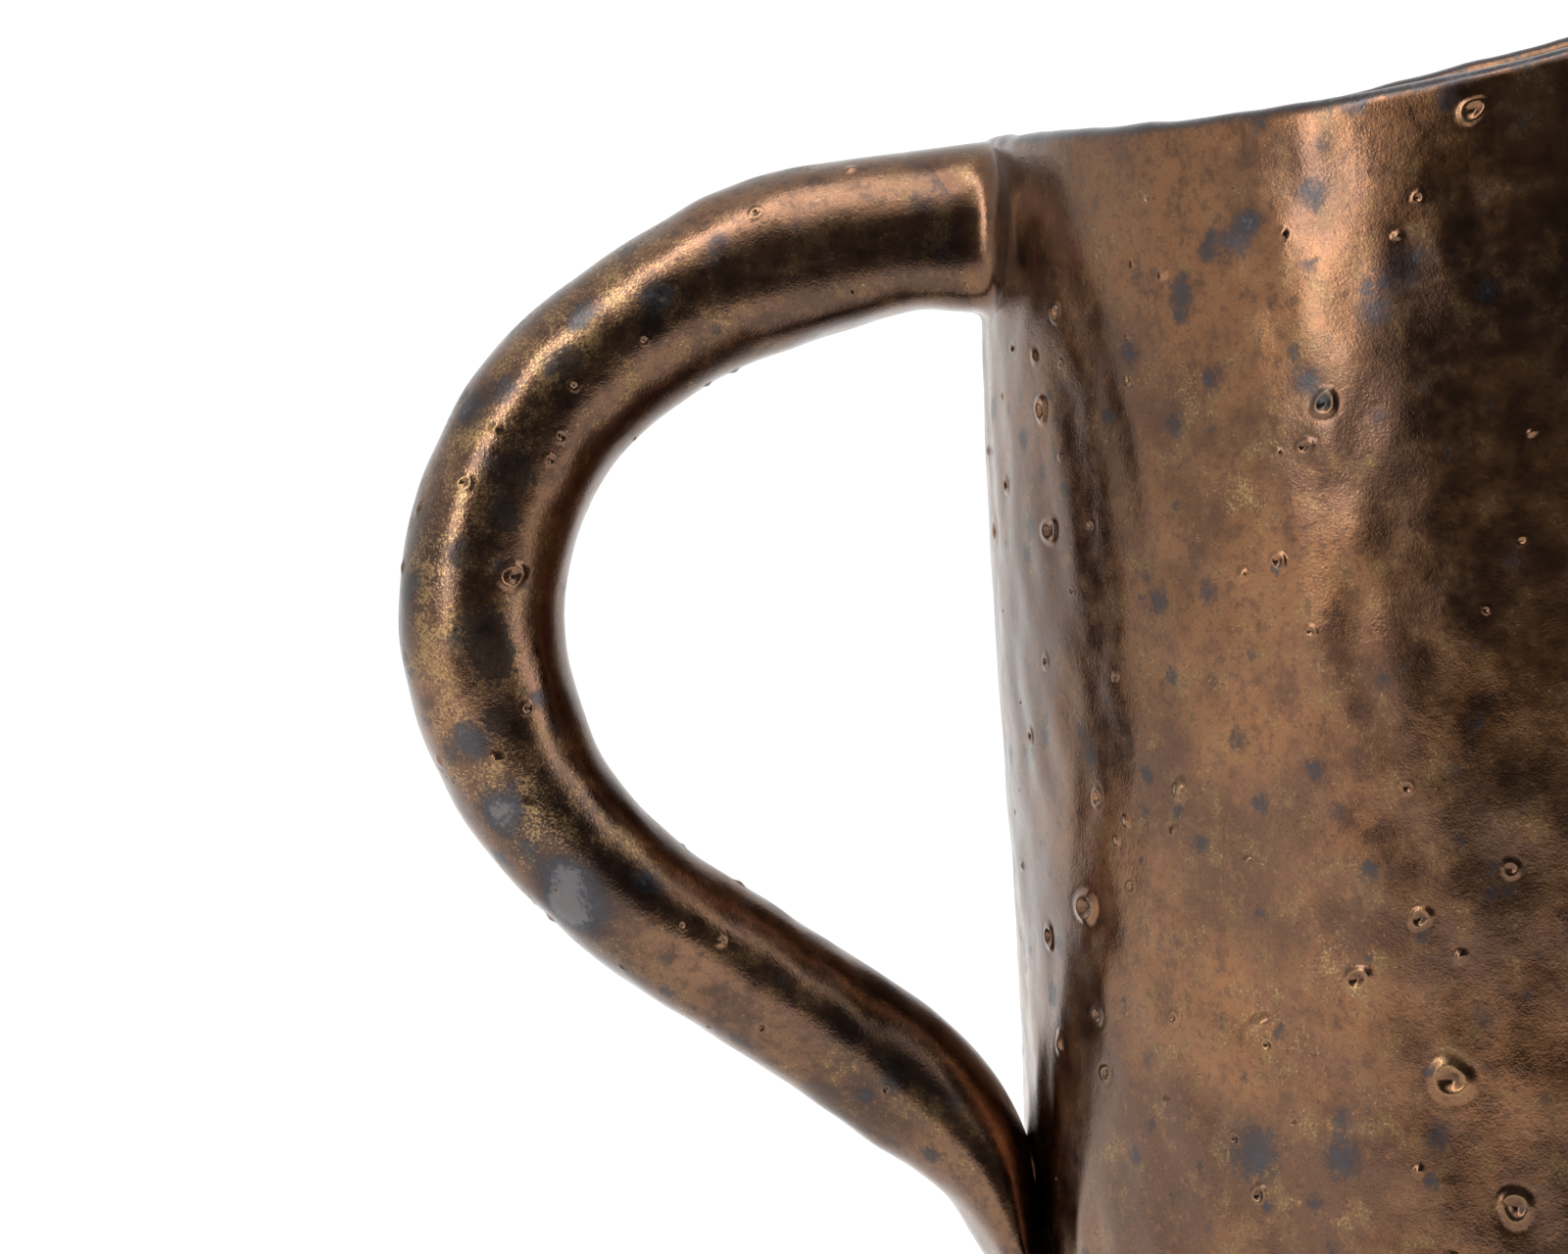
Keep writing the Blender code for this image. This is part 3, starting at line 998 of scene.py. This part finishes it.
    def spot_list(self, rng: np.random.Generator) -> list[Spot]:
        """Blue-grey blooms: those listed, and others strewn all round.

        Args:
            rng: the seeded source of random numbers.

        Returns:
            The blooms.
        """
        spots = rng.uniform((0, 0), (math.tau * self.reference, self.face),
                            (self.stain_count, 2))
        spots[:, 0] += self.start_angle * self.reference
        sizes = rng.uniform(0.35, 1.05, len(spots)) * MM
        strengths = rng.uniform(0.5, 1.1, len(spots))
        strewn = [Spot(*row) for row in np.column_stack([spots, sizes, strengths])]
        return self.placed_spots(NEAR_STAINS) + strewn

    def build(self) -> None:
        """Make the wall and the spout."""
        loop, edges, cut = self.seam()
        sheet = Sheet(self.grid(), self.all_marks(), loop, edges)
        flat, triangles = sheet.build()
        relief, painted_shading = sheet.relief(flat)
        smooth = self.place(flat)
        seam = np.vstack([self.seam_side(1)[0], self.seam_side(-1)[0]])
        away = np.full(len(flat), 1.0)
        for point in seam:
            away = np.minimum(away, np.hypot(*(flat - point).T))
        relief += self.seam_groove * (0.5 * bell(away - 1.3 * MM, 0.7 * MM) - bell(away, 0.45 * MM))
        relief += kiln_relief(smooth)
        points = smooth + outward(self.place, flat) * relief[:, None]
        rng = np.random.default_rng(self.seed + 1)
        # Painted reflection: a pale band with darker edges along the top of the rim, where the rounded
        # lip mirrors the bright room; it is added to the blooms so that it reaches ash grey.
        lip = 1.6 * bell(flat[:, 1] - self.face - 0.45 * self.over, 0.33 * self.over)
        # The marks' painted shading, the blooms with the painted rim reflection, and gold painted
        # highlights where the left strip light's reflection falls.
        looks = {"painted_shading": painted_shading, "bloom_and_rim_sheen": spotted(flat, self.spot_list(rng)) + lip,
                 "painted_highlight": spotted(flat, self.placed_spots(NEAR_PAINTED_HIGHLIGHTS))}

        middle = flat[triangles].mean(axis=1)
        along = np.where(middle[:, 1] > self.face + self.over / 2,
                         2 * self.face + self.over - middle[:, 1], middle[:, 1])
        angle = np.abs(middle[:, 0]) / self.reference
        low_edge = np.interp(middle[:, 0], *self.lower_edge())
        spout = (angle < self.seam_angle) & (along > low_edge)
        glaze = self.finish.material()
        for name, faces in (("body_wall", triangles[~spout]), ("pouring_spout", triangles[spout])):
            make_piece(name, points, np.vstack([faces, cut]), glaze, looks)

    def lower_edge(self) -> tuple[Array, Array]:
        """The V of the spout's seam.

        Returns:
            Places across the sheet, and how far along it the V is at each.
        """
        near, far = (self.seam_side(side)[0][:self.seam_points] for side in (-1, 1))
        line = np.vstack([near[::-1], far[1:]])
        return line[:, 0], line[:, 1]


# ---------------------------------------------------------------- handle

# What stands out on the rod: length from the root in mm, degrees round it from its outer side, radius
# in mm, and a strength where it isn't 1
HANDLE_MARKS = {
    MarkKind.RING: [
        (48.0, -107, 1.15), (36.5, -104, 0.60), (38.5, -106, 0.50), (42.5, -57, 0.65), (16.0, -52, 0.55),
        (33.0, -88, 0.50), (88.0, -60, 0.60),
    ],
    MarkKind.PIT: [(52.0, -70, 0.45), (27.0, -95, 0.45), (79.0, -95, 0.45), (98.0, -75, 0.45)],
    MarkKind.BLISTER: [
        (48.5, -10, 0.55), (72.0, -4, 0.60), (70.5, 6, 0.50), (22.0, -175, 0.60), (24.5, -170, 0.50),
        (82.0, -100, 0.50), (60.0, -20, 0.50), (9.0, -30, 0.55),
    ],
}
HANDLE_BLOOMS = [
    (59.5, -62, 1.5, 1.4), (64.5, -55, 1.7, 1.4), (72.0, -54, 2.9, 1.5), (70.0, -66, 1.5, 0.8),
    (38.0, -34, 1.6), (29.0, -50, 1.5), (36.0, -50, 1.2), (50.0, -20, 1.2), (97.0, -60, 0.9),
    (104.0, -50, 1.0), (19.0, -62, 1.0), (24.0, -75, 1.1),
]
# Painted highlights on the rod: gold along the band where the left strip light's reflection falls, as
# length from the root, degrees and radius.
HANDLE_PAINTED_HIGHLIGHTS = [
    (24.0, -62, 5.0), (31.0, -55, 5.0), (38.0, -58, 5.0), (45.0, -55, 4.5), (52.0, -58, 4.0),
    (58.0, -62, 4.0), (64.0, -72, 4.0), (68.0, -78, 3.0),
]
# Darker patches on the rod: those on its near side are painted shade, laid where it mirrors the dark
# shade cards in front; the rest make a fainter strip along the outer side of the bend.
HANDLE_DARKENING = [
    (52.0, -88, 1.9), (54.5, -92, 1.6), (40.5, -86, 1.9), (44.0, -92, 1.3), (58.5, -84, 1.4),
    (47.0, -68, 1.2), (32.0, -72, 1.2), (22.0, -2, 2.6, 0.55), (30.0, -4, 2.6, 0.55),
    (38.0, -2, 2.6, 0.6), (46.0, -4, 2.6, 0.6), (54.0, -2, 2.6, 0.6), (62.0, -4, 2.6, 0.55),
    (70.0, -2, 2.4, 0.5),
]


@dataclass
class PulledHandle:
    """The rod of the handle, from its root at the rim to the tail that is pressed on to the wall.

    On its sheet, across is the angle times reference, from the outer side of the bend and negative on
    the near side, and along is the length from the root. The rod slims, flattens, widens, narrows and
    rounds over stretches of its length, each given as where it starts and how long it is. Its line is
    how far out it stands and how far down it is, as shares of the reach and the drop.
    """

    outline: BodyOutline
    finish: BronzeGlaze
    reach: float = 37.4 * MM
    drop: float = 83.2 * MM
    radius: float = 6.0 * MM
    lower_radius: float = 5.2 * MM
    tail_depth: float = 0.9 * MM
    tail_width: float = 8.0 * MM
    tip_width: float = 3.5 * MM
    root_below_rim: float = 7.0 * MM
    root_sunk: float = 2.5 * MM
    slims: tuple[float, float] = (52 * MM, 22 * MM)
    flattens: tuple[float, float] = (97 * MM, 26 * MM)
    widens: tuple[float, float] = (95 * MM, 18 * MM)
    narrows: tuple[float, float] = (114 * MM, 12 * MM)
    rounds: tuple[float, float] = (5 * MM, 20 * MM)
    line: tuple[tuple[float, float], ...] = (
        (0.19, 0.002), (0.53, 0.049), (0.85, 0.157), (1.0, 0.314), (0.95, 0.463), (0.77, 0.572),
        (0.52, 0.653), (0.27, 0.732), (0.11, 0.803), (0.035, 0.89), (-0.03, 1.0))
    reference: float = 5.8 * MM
    start_angle: float = -1.5 * math.pi
    columns: int = 75
    rows: int = 262
    mark_tries: int = 34
    stain_count: int = 190
    seed: int = 33
    middle_x: Array = field(init=False)
    middle_z: Array = field(init=False)
    lengths: Array = field(init=False)
    end: float = field(init=False)

    def __post_init__(self) -> None:
        """Work out the middle line and the length along it."""
        root = self.outline.rim_height - self.root_below_rim
        knots = [(-self.root_sunk, root)]
        knots += [(out * self.reach, root - down * self.drop) for out, down in self.line]
        curve = through(np.array(knots), 400)
        self.middle_x = -self.outline.round_radius(curve[:, 1]) - curve[:, 0]
        self.middle_z = curve[:, 1]
        steps = np.hypot(np.diff(self.middle_x), np.diff(self.middle_z))
        self.lengths = np.concatenate([[0], np.cumsum(steps)]) - self.root_sunk
        self.end = self.lengths[-1]

    def middle(self, along: Array) -> Array:
        """The middle line's x and z, one row of each, read between its points."""
        return np.stack([np.interp(along, self.lengths, line) for line in (self.middle_x, self.middle_z)])

    def half_depth(self, along: Array) -> Array:
        """Half the rod's depth in the plane of the bend: eased steps from grip to tail.

        A bell curve makes a knuckle a little way from the root, and another a dip before it.

        Args:
            along: lengths from the root.

        Returns:
            One half depth a length.
        """
        depth = self.radius + (self.lower_radius - self.radius) * passed(along, self.slims)
        depth = depth + 0.35 * MM * bell(along - 16 * MM, 5 * MM)
        depth = depth - 0.25 * MM * bell(along - 6 * MM, 4 * MM)
        return depth + (self.tail_depth - self.lower_radius) * passed(along, self.flattens)

    def half_width(self, along: Array) -> Array:
        """Half the rod's width across the bend: eased steps, widest at the tail.

        Args:
            along: lengths from the root.

        Returns:
            One half width a length.
        """
        width = self.radius + (self.lower_radius - self.radius) * passed(along, self.slims)
        width = width + (self.tail_width - self.lower_radius) * passed(along, self.widens)
        return width + (self.tip_width - self.tail_width) * passed(along, self.narrows)

    def place(self, flat: Array) -> Array:
        """Carry flat points on to the rod: an oval section carried along the middle line.

        Near the root the lower half of the oval is a superellipse, which flattens its faces there.

        Args:
            flat: (across, along) points, one a row.

        Returns:
            Points in space, one a row.
        """
        angle, along = flat[:, 0] / self.reference, flat[:, 1]
        step = 0.5 * MM
        x, z = self.middle(along)
        ahead = self.middle(np.clip(along + step, self.lengths[0], self.end))
        behind = self.middle(np.clip(along - step, self.lengths[0], self.end))
        run, fall = ahead - behind
        size = np.hypot(run, fall)
        out_x, out_z = fall / size, -run / size
        power = 2 + (1 - passed(along, self.rounds)) * ease(0.5 - 1.5 * np.cos(angle))
        boxy = (np.abs(np.cos(angle)) ** power + np.abs(np.sin(angle)) ** power) ** (1 / power)
        depth = self.half_depth(along) * np.cos(angle) / boxy
        width = self.half_width(along) * np.sin(angle) / boxy
        return np.column_stack([x + depth * out_x, width, z + depth * out_z])

    def marks(self) -> list[Mark]:
        """The marks that are listed, and small ones scattered over the rod.

        Returns:
            The marks.
        """
        placed = [Mark(math.radians(degrees) * self.reference, along * MM, radius * MM, kind)
                  for kind, rows in HANDLE_MARKS.items() for along, degrees, radius in rows]
        low = ((self.start_angle + 0.3) * self.reference, 4 * MM)
        high = ((self.start_angle + math.tau - 0.3) * self.reference, 100 * MM)
        marks = scattered(np.random.default_rng(self.seed), low, high, self.mark_tries, placed)
        return [Mark(m.across, m.along, min(m.radius, 0.6 * MM), m.kind) if m not in placed else m
                for m in marks]

    def spot_list(self, rows: list[tuple[float, ...]]) -> list[Spot]:
        """Spots from (along, degrees, radius) rows, with a strength last where it isn't 1."""
        return [Spot(math.radians(degrees) * self.reference, along * MM, radius * MM, *strength)
                for along, degrees, radius, *strength in rows]

    def build(self) -> None:
        """Make the rod, closed at both ends."""
        whole_turn = (self.start_angle, self.start_angle + math.tau)
        columns = np.linspace(*whole_turn, self.columns) * self.reference
        rows = np.linspace(self.lengths[0], self.end, self.rows)
        grid = np.stack(np.meshgrid(columns, rows), -1)
        grid[1:-1:2, 1:-1, 0] += (columns[1] - columns[0]) / 2
        sheet = Sheet(grid.reshape(-1, 2), self.marks())
        flat, triangles = sheet.build()
        relief, painted_shading = sheet.relief(flat)
        smooth = self.place(flat)
        relief += kiln_relief(smooth)
        points = smooth + outward(self.place, flat) * relief[:, None]
        rng = np.random.default_rng(self.seed + 1)
        spots = rng.uniform((columns[0], 0), (columns[-1], self.end), (self.stain_count, 2))
        sizes = rng.uniform(0.4, 1.2, self.stain_count) * MM
        strewn = [Spot(*spot, size, 0.7) for spot, size in zip(spots, sizes)]
        # The marks' painted shading, the blooms, darker patches that are partly painted shade, and gold
        # painted highlights.
        looks = {
            "painted_shading": painted_shading,
            "bloom_and_rim_sheen": spotted(flat, self.spot_list(HANDLE_BLOOMS) + strewn),
            "darkening": spotted(flat, self.spot_list(HANDLE_DARKENING)),
            "painted_highlight": spotted(flat, self.spot_list(HANDLE_PAINTED_HIGHLIGHTS)),
        }
        caps = []
        for along in (self.lengths[0], self.end):
            ring = np.flatnonzero(np.abs(flat[:, 1] - along) < 1e-9)
            ring = ring[np.argsort(flat[ring, 0])]
            caps.append(np.column_stack([np.full(len(ring) - 2, ring[0]), ring[1:-1], ring[2:]]))
        make_piece("handle", points, np.vstack([triangles, *caps]),
                   self.finish.material(), looks)

    def meeting(self, angle: Array, low: float, high: float) -> Array:
        """Where the rod's side lines go into the wall, by halving the stretch that holds the crossing.

        Args:
            angle: the rod's angles.
            low: a place along the rod where the lines are inside the wall.
            high: a place where they are outside.

        Returns:
            The place along the rod for each angle.
        """
        inside, outside = np.full(len(angle), low), np.full(len(angle), high)
        for _ in range(30):
            middle = (inside + outside) / 2
            point = self.place(np.column_stack([angle * self.reference, middle]))
            is_out = np.hypot(point[:, 0], point[:, 1]) > self.outline.round_radius(point[:, 2])
            inside, outside = np.where(is_out, inside, middle), np.where(is_out, middle, outside)
        return outside


@dataclass
class Collar:
    """Luting clay smoothed between the rod and the wall: a hollow fillet carried round the rod."""

    name: str
    body: JugBody
    rod: PulledHandle
    finish: BronzeGlaze
    inside: float
    outside: float
    on_wall: float
    on_rod: float
    on_rod_top: float
    on_sides: float
    lift: float = 0.0
    sunk: float = 0.35 * MM
    columns: int = 160
    rows: int = 12

    def build(self) -> None:
        """Make the fillet.

        Its face is a quadratic Bezier curve from the rod to the wall whose middle control point is
        where the two meet, so it leaves both without a step. Its back lies under both faces.
        """
        turn = np.arange(self.columns) * math.tau / self.columns
        meet = self.rod.meeting(turn, self.inside, self.outside)
        corner_flat = np.column_stack([turn * self.rod.reference, meet])
        corner = self.rod.place(corner_flat)
        sign = math.copysign(1.0, self.outside - self.inside)
        reach = self.on_rod + (self.on_rod_top - self.on_rod) * np.clip(np.cos(turn), 0, 1) ** 2
        reach = reach + self.on_sides * np.sin(turn) ** 2
        angle = np.arctan2(corner[:, 1], corner[:, 0])
        angle = np.where(angle > 0, angle - math.tau, angle)
        wall_flat = self.body.flat_point(angle, corner[:, 2])
        heading = unit(wall_flat - wall_flat.mean(axis=0))
        spread = (self.on_wall + self.on_sides * np.sin(turn) ** 2)[:, None]
        on_rod = raised(self.rod.place, corner_flat + np.column_stack([0 * turn, sign * reach]))
        on_wall = raised(self.body.place, wall_flat + heading * spread)
        corner = (raised(self.rod.place, corner_flat) + raised(self.body.place, wall_flat)) / 2
        corner[:, 2] += self.lift * np.clip(np.cos(turn), 0, 1) ** 2
        share = np.linspace(0, 1, self.rows)[:, None, None]
        face = (1 - share) ** 2 * on_rod + 2 * share * (1 - share) * corner + share**2 * on_wall
        rod_wards = unit(on_rod.mean(axis=0) - on_rod)
        axis_wards = np.column_stack([-np.cos(angle), -np.sin(angle), 0 * angle])
        face[0] += rod_wards * 0.02 * MM
        face[-1] += axis_wards * 0.02 * MM
        back = np.stack([on_wall + axis_wards * self.sunk, corner + axis_wards * 2 * self.sunk,
                         on_rod + rod_wards * self.sunk])
        section = np.concatenate([face, back])
        points = section.reshape(-1, 3)
        make_piece(self.name, points, grid_faces(len(section), self.columns, ring_rows=True),
                   self.finish.material())


# ---------------------------------------------------------------- floor, base and inner coils

@dataclass
class Base:
    """The slab under the wall and the coil in the inside corner, both turned about the jug's axis."""

    outline: BodyOutline
    finish: BronzeGlaze
    coil_finish: BronzeGlaze
    rounding: float = 1.5 * MM
    coil: float = 4.6 * MM
    columns: int = 288

    def turned(self, profile: Array) -> Array:
        """Carry a profile round the axis.

        Args:
            profile: (radius, height) points, one a row.

        Returns:
            Points in space, a whole ring for each row of the profile.
        """
        turn = np.arange(self.columns) * math.tau / self.columns
        radius, height = profile[:, :1], profile[:, 1:]
        ring = np.stack([radius * np.cos(turn), radius * np.sin(turn), height + 0 * turn], -1)
        return ring.reshape(-1, 3)

    def build(self) -> None:
        """Make the slab, glazed down to just above its foot, and the cove of the floor coil."""
        outline = self.outline
        flat = float(outline.round_radius(np.array(0.0))) - self.rounding
        bow = np.linspace(0, math.pi / 2, 8)
        edge = np.column_stack([flat + self.rounding * np.sin(bow), self.rounding * (1 - np.cos(bow))])
        rise = np.concatenate([np.linspace(self.rounding, outline.foot - 0.6 * MM, 9)[1:],
                               np.linspace(outline.foot - 0.5 * MM, outline.foot, 6)])
        tuck = 0.30 * MM * ease((rise - outline.foot + 0.5 * MM) / (0.3 * MM))
        side = np.column_stack([outline.round_radius(rise) - tuck, rise])
        below = np.column_stack([np.linspace(0, flat, 40)[:-1], np.zeros(39)])
        above = np.column_stack([np.linspace(side[-1, 0], 0, 40)[1:], np.full(39, outline.foot)])
        points = self.turned(np.vstack([below, edge, side, above]))
        relief = kiln_relief(points)
        is_top = points[:, 2] > outline.foot - 1e-9
        on_side = (points[:, 2] > self.rounding / 3) & ~is_top
        spoke = unit(points * [1, 1, 0] + [1e-9, 0, 0])
        points = points + spoke * (relief * on_side)[:, None]
        inside = is_top & (np.hypot(points[:, 0], points[:, 1]) < outline.waist_radius - outline.wall)
        points[:, 2] += np.where(inside, relief, 0)
        rows = len(points) // self.columns
        make_piece("base_slab", points, grid_faces(rows, self.columns),
                   self.finish.material())
        self.build_coil()

    def build_coil(self) -> None:
        """Make the floor coil: a quarter circle cove with its back in the wall and the floor."""
        outline = self.outline
        corner = float(outline.inner(np.array(math.pi), np.array(outline.foot)))
        bow = np.linspace(0, math.pi / 2, 12)
        cove = np.column_stack([corner - self.coil * (1 - np.sin(bow)),
                                outline.foot + self.coil * (1 - np.cos(bow))])
        back = np.array([[corner + 0.5 * MM, outline.foot + self.coil],
                         [corner + 0.5 * MM, outline.foot - 0.4 * MM],
                         [corner - self.coil, outline.foot - 0.4 * MM]])
        points = self.turned(np.vstack([cove, back]))
        spoke = unit(points * [1, 1, 0])
        points = points + spoke * kiln_relief(points)[:, None]
        make_piece("floor_coil", points, grid_faces(len(cove) + len(back), self.columns, ring_rows=True),
                   self.coil_finish.material())


@dataclass
class SeamCoil:
    """The coil smeared along the inside of the spout's seam: a flat oval carried along the V."""

    body: JugBody
    finish: BronzeGlaze
    half_width: float = 2.1 * MM
    half_depth: float = 0.9 * MM
    sides: int = 20

    def build(self) -> None:
        """Make the coil, thin at both ends, with its middle on the inner face."""
        near, far = self.body.seam_side(-1)[2], self.body.seam_side(1)[2]
        flat = np.vstack([near[:0:-1], far])[8:-8]
        line = self.body.place(flat)
        inward = outward(self.body.place, flat)
        along = unit(np.gradient(line, axis=0))
        across = np.cross(along, inward)
        share = np.linspace(-1, 1, len(line))
        thin = np.sqrt(np.clip(1 - share**8, 0.0, 1))
        turn = np.arange(self.sides) * math.tau / self.sides
        wide, deep = self.half_width * thin, self.half_depth * thin
        points = (line[:, None] + across[:, None] * (wide[:, None] * np.cos(turn))[..., None]
                  + inward[:, None] * (deep[:, None] * np.sin(turn))[..., None]).reshape(-1, 3)
        points = points + kiln_relief(points)[:, None] * np.repeat(inward, self.sides, 0)
        make_piece("spout_seam_coil", points, grid_faces(len(line), self.sides),
                   self.finish.material())


# ---------------------------------------------------------------- studio

@dataclass(frozen=True)
class SoftBox:
    """A soft light around the jug: its azimuth, distance, height, width, tallness and brightness."""

    name: str
    azimuth: float
    distance: float
    height: float
    wide: float
    tall: float
    radiance: float


@dataclass(frozen=True)
class Studio:
    """White floor, white surroundings, soft boxes and the camera."""

    azimuth: float = -9.0
    camera_distance: float = 0.70
    camera_height: float = 0.090
    aim_left: float = 0.0617
    aim_height: float = 0.0690
    frame_width: float = 0.1157
    sensor: float = 36.0
    room_strength: float = 1.08
    floor_reach: float = 12.0
    floor_color: float = 0.95
    shade_half_width: float = 0.40
    shade_distances: tuple[float, float, float] = (0.19, 0.25, 0.52)
    shade_lift: float = 0.001
    shade_top: float = 0.46
    shade_colors: tuple[float, float, float] = (0.70, 0.075, 0.06)
    boxes: tuple[SoftBox, ...] = (
        SoftBox("left_strip", -59.5, 0.375, 0.30, 0.075, 0.60, 7.6),
        SoftBox("right_strip", 46, 0.90, 0.36, 0.25, 0.68, 3.0),
        SoftBox("over_head", -9.0, 0.27, 0.85, 0.60, 0.60, 3.0),
    )

    def around(self, azimuth: float, distance: float, height: float) -> Vector:
        """A point round the jug, at an azimuth in degrees that is 0 straight in front of it."""
        turn = math.radians(azimuth)
        return Vector((math.sin(turn) * distance, -math.cos(turn) * distance, height))

    def place_camera(self) -> None:
        """Aim a long lens at the handle from just over the rim."""
        data = bpy.data.cameras.new("camera")
        camera = bpy.data.objects.new("camera", data)
        bpy.context.scene.collection.objects.link(camera)
        camera.location = self.around(self.azimuth, self.camera_distance, self.camera_height)
        turn = math.radians(self.azimuth)
        left = Vector((-math.cos(turn), -math.sin(turn), 0))
        aim = left * self.aim_left + Vector((0, 0, self.aim_height)) - camera.location
        camera.rotation_euler = aim.to_track_quat("-Z", "Y").to_euler()
        data.sensor_width = self.sensor
        data.lens = self.sensor * aim.length / self.frame_width
        data.clip_start = 0.01
        bpy.context.scene.camera = camera

    def place_world(self) -> None:
        """Surround the jug with plain white."""
        world = bpy.data.worlds.new("white_room")
        world.use_nodes = True
        world.node_tree.nodes["Background"].inputs["Color"].default_value = (1, 1, 1, 1)
        world.node_tree.nodes["Background"].inputs["Strength"].default_value = self.room_strength
        bpy.context.scene.world = world

    def place_card(self, name: str, corners: list[Vector], color: float) -> bpy.types.Object:
        """A flat plain card, which belongs to the stage.

        Args:
            name: the card's name.
            corners: its corners in order.
            color: how pale it is.

        Returns:
            The card.
        """
        mesh = bpy.data.meshes.new(name)
        mesh.from_pydata([tuple(corner) for corner in corners], [], [tuple(range(len(corners)))])
        material = bpy.data.materials.new(name)
        material.use_nodes = True
        shader = material.node_tree.nodes["Principled BSDF"]
        shader.inputs["Base Color"].default_value = (color, color, color, 1)
        shader.inputs["Roughness"].default_value = 0.9
        shader.inputs["Specular IOR Level"].default_value = 0.0
        mesh.materials.append(material)
        card = bpy.data.objects.new(name, mesh)
        bpy.context.scene.collection.objects.link(card)
        return card

    def place_light(self, box: SoftBox) -> None:
        """Place a soft light that faces the jug; its power is radiance times area times pi.

        Args:
            box: the light's place, size and brightness.
        """
        data = bpy.data.lights.new(box.name, "AREA")
        data.shape = "RECTANGLE"
        data.size, data.size_y = box.wide, box.tall
        data.energy = box.radiance * box.wide * box.tall * math.pi
        light = bpy.data.objects.new(box.name, data)
        light.location = self.around(box.azimuth, box.distance, box.height)
        aim = Vector((0, 0, 0.06)) - light.location
        light.rotation_euler = aim.to_track_quat("-Z", "Y").to_euler()
        light.visible_camera = False
        bpy.context.scene.collection.objects.link(light)

    def place_shades(self) -> None:
        """Lay dark cards in front of the jug, seen only in its glaze: two flat ones and one upright."""
        turn = math.radians(self.azimuth)
        right = Vector((math.cos(turn), math.sin(turn), 0)) * self.shade_half_width
        near, middle, far = self.shade_distances
        edges = [self.around(self.azimuth, near, self.shade_lift),
                 self.around(self.azimuth, middle, self.shade_lift),
                 self.around(self.azimuth, far, self.shade_lift),
                 self.around(self.azimuth, far, self.shade_top)]
        names = ("pale_shade", "grey_shade", "standing_shade")
        for name, color, one, two in zip(names, self.shade_colors, edges, edges[1:]):
            shade = self.place_card(name, [one - right, one + right, two + right, two - right], color)
            shade.visible_camera = shade.visible_diffuse = shade.visible_shadow = False

    def build(self) -> None:
        """Set the stage."""
        self.place_world()
        far = self.floor_reach
        corners = [Vector((x, y, 0)) for x, y in ((-far, -far), (far, -far), (far, far), (-far, far))]
        self.place_card("floor", corners, self.floor_color)
        self.place_shades()
        for box in self.boxes:
            self.place_light(box)
        self.place_camera()
        bpy.context.scene.view_settings.view_transform = "Standard"


def main() -> None:
    """Build the stage and each part of the jug in turn; each piece's triangle count is logged."""
    logging.basicConfig(level=logging.INFO, format="%(message)s")
    Studio().build()
    outline = BodyOutline.from_frame()
    body = JugBody(outline, BronzeGlaze("bronze_glaze_wall"))
    body.build()
    rod = PulledHandle(outline, BronzeGlaze("bronze_glaze_handle", copper=(0.165, 0.085, 0.048, 1),
                                             brown=(0.062, 0.036, 0.025, 1),
                                             roughness=0.21, grit=0.020 * MM))
    rod.build()
    seam_finish = BronzeGlaze("bronze_glaze_seams", copper=(0.15, 0.072, 0.037, 1))
    Collar("upper_handle_collar", body, rod, seam_finish, inside=-2.4 * MM, outside=6 * MM,
           on_wall=0.7 * MM, on_rod=0.8 * MM, on_rod_top=5.5 * MM, on_sides=2.3 * MM,
           lift=0.6 * MM).build()
    Collar("lower_handle_collar", body, rod, seam_finish, inside=rod.end, outside=88 * MM,
           on_wall=0.6 * MM, on_rod=0.7 * MM, on_rod_top=0.9 * MM, on_sides=0.0).build()
    Base(outline, BronzeGlaze("glaze_over_bare_clay", clay_below=1.2 * MM), seam_finish).build()
    SeamCoil(body, seam_finish).build()


if __name__ == "__main__":
    main()
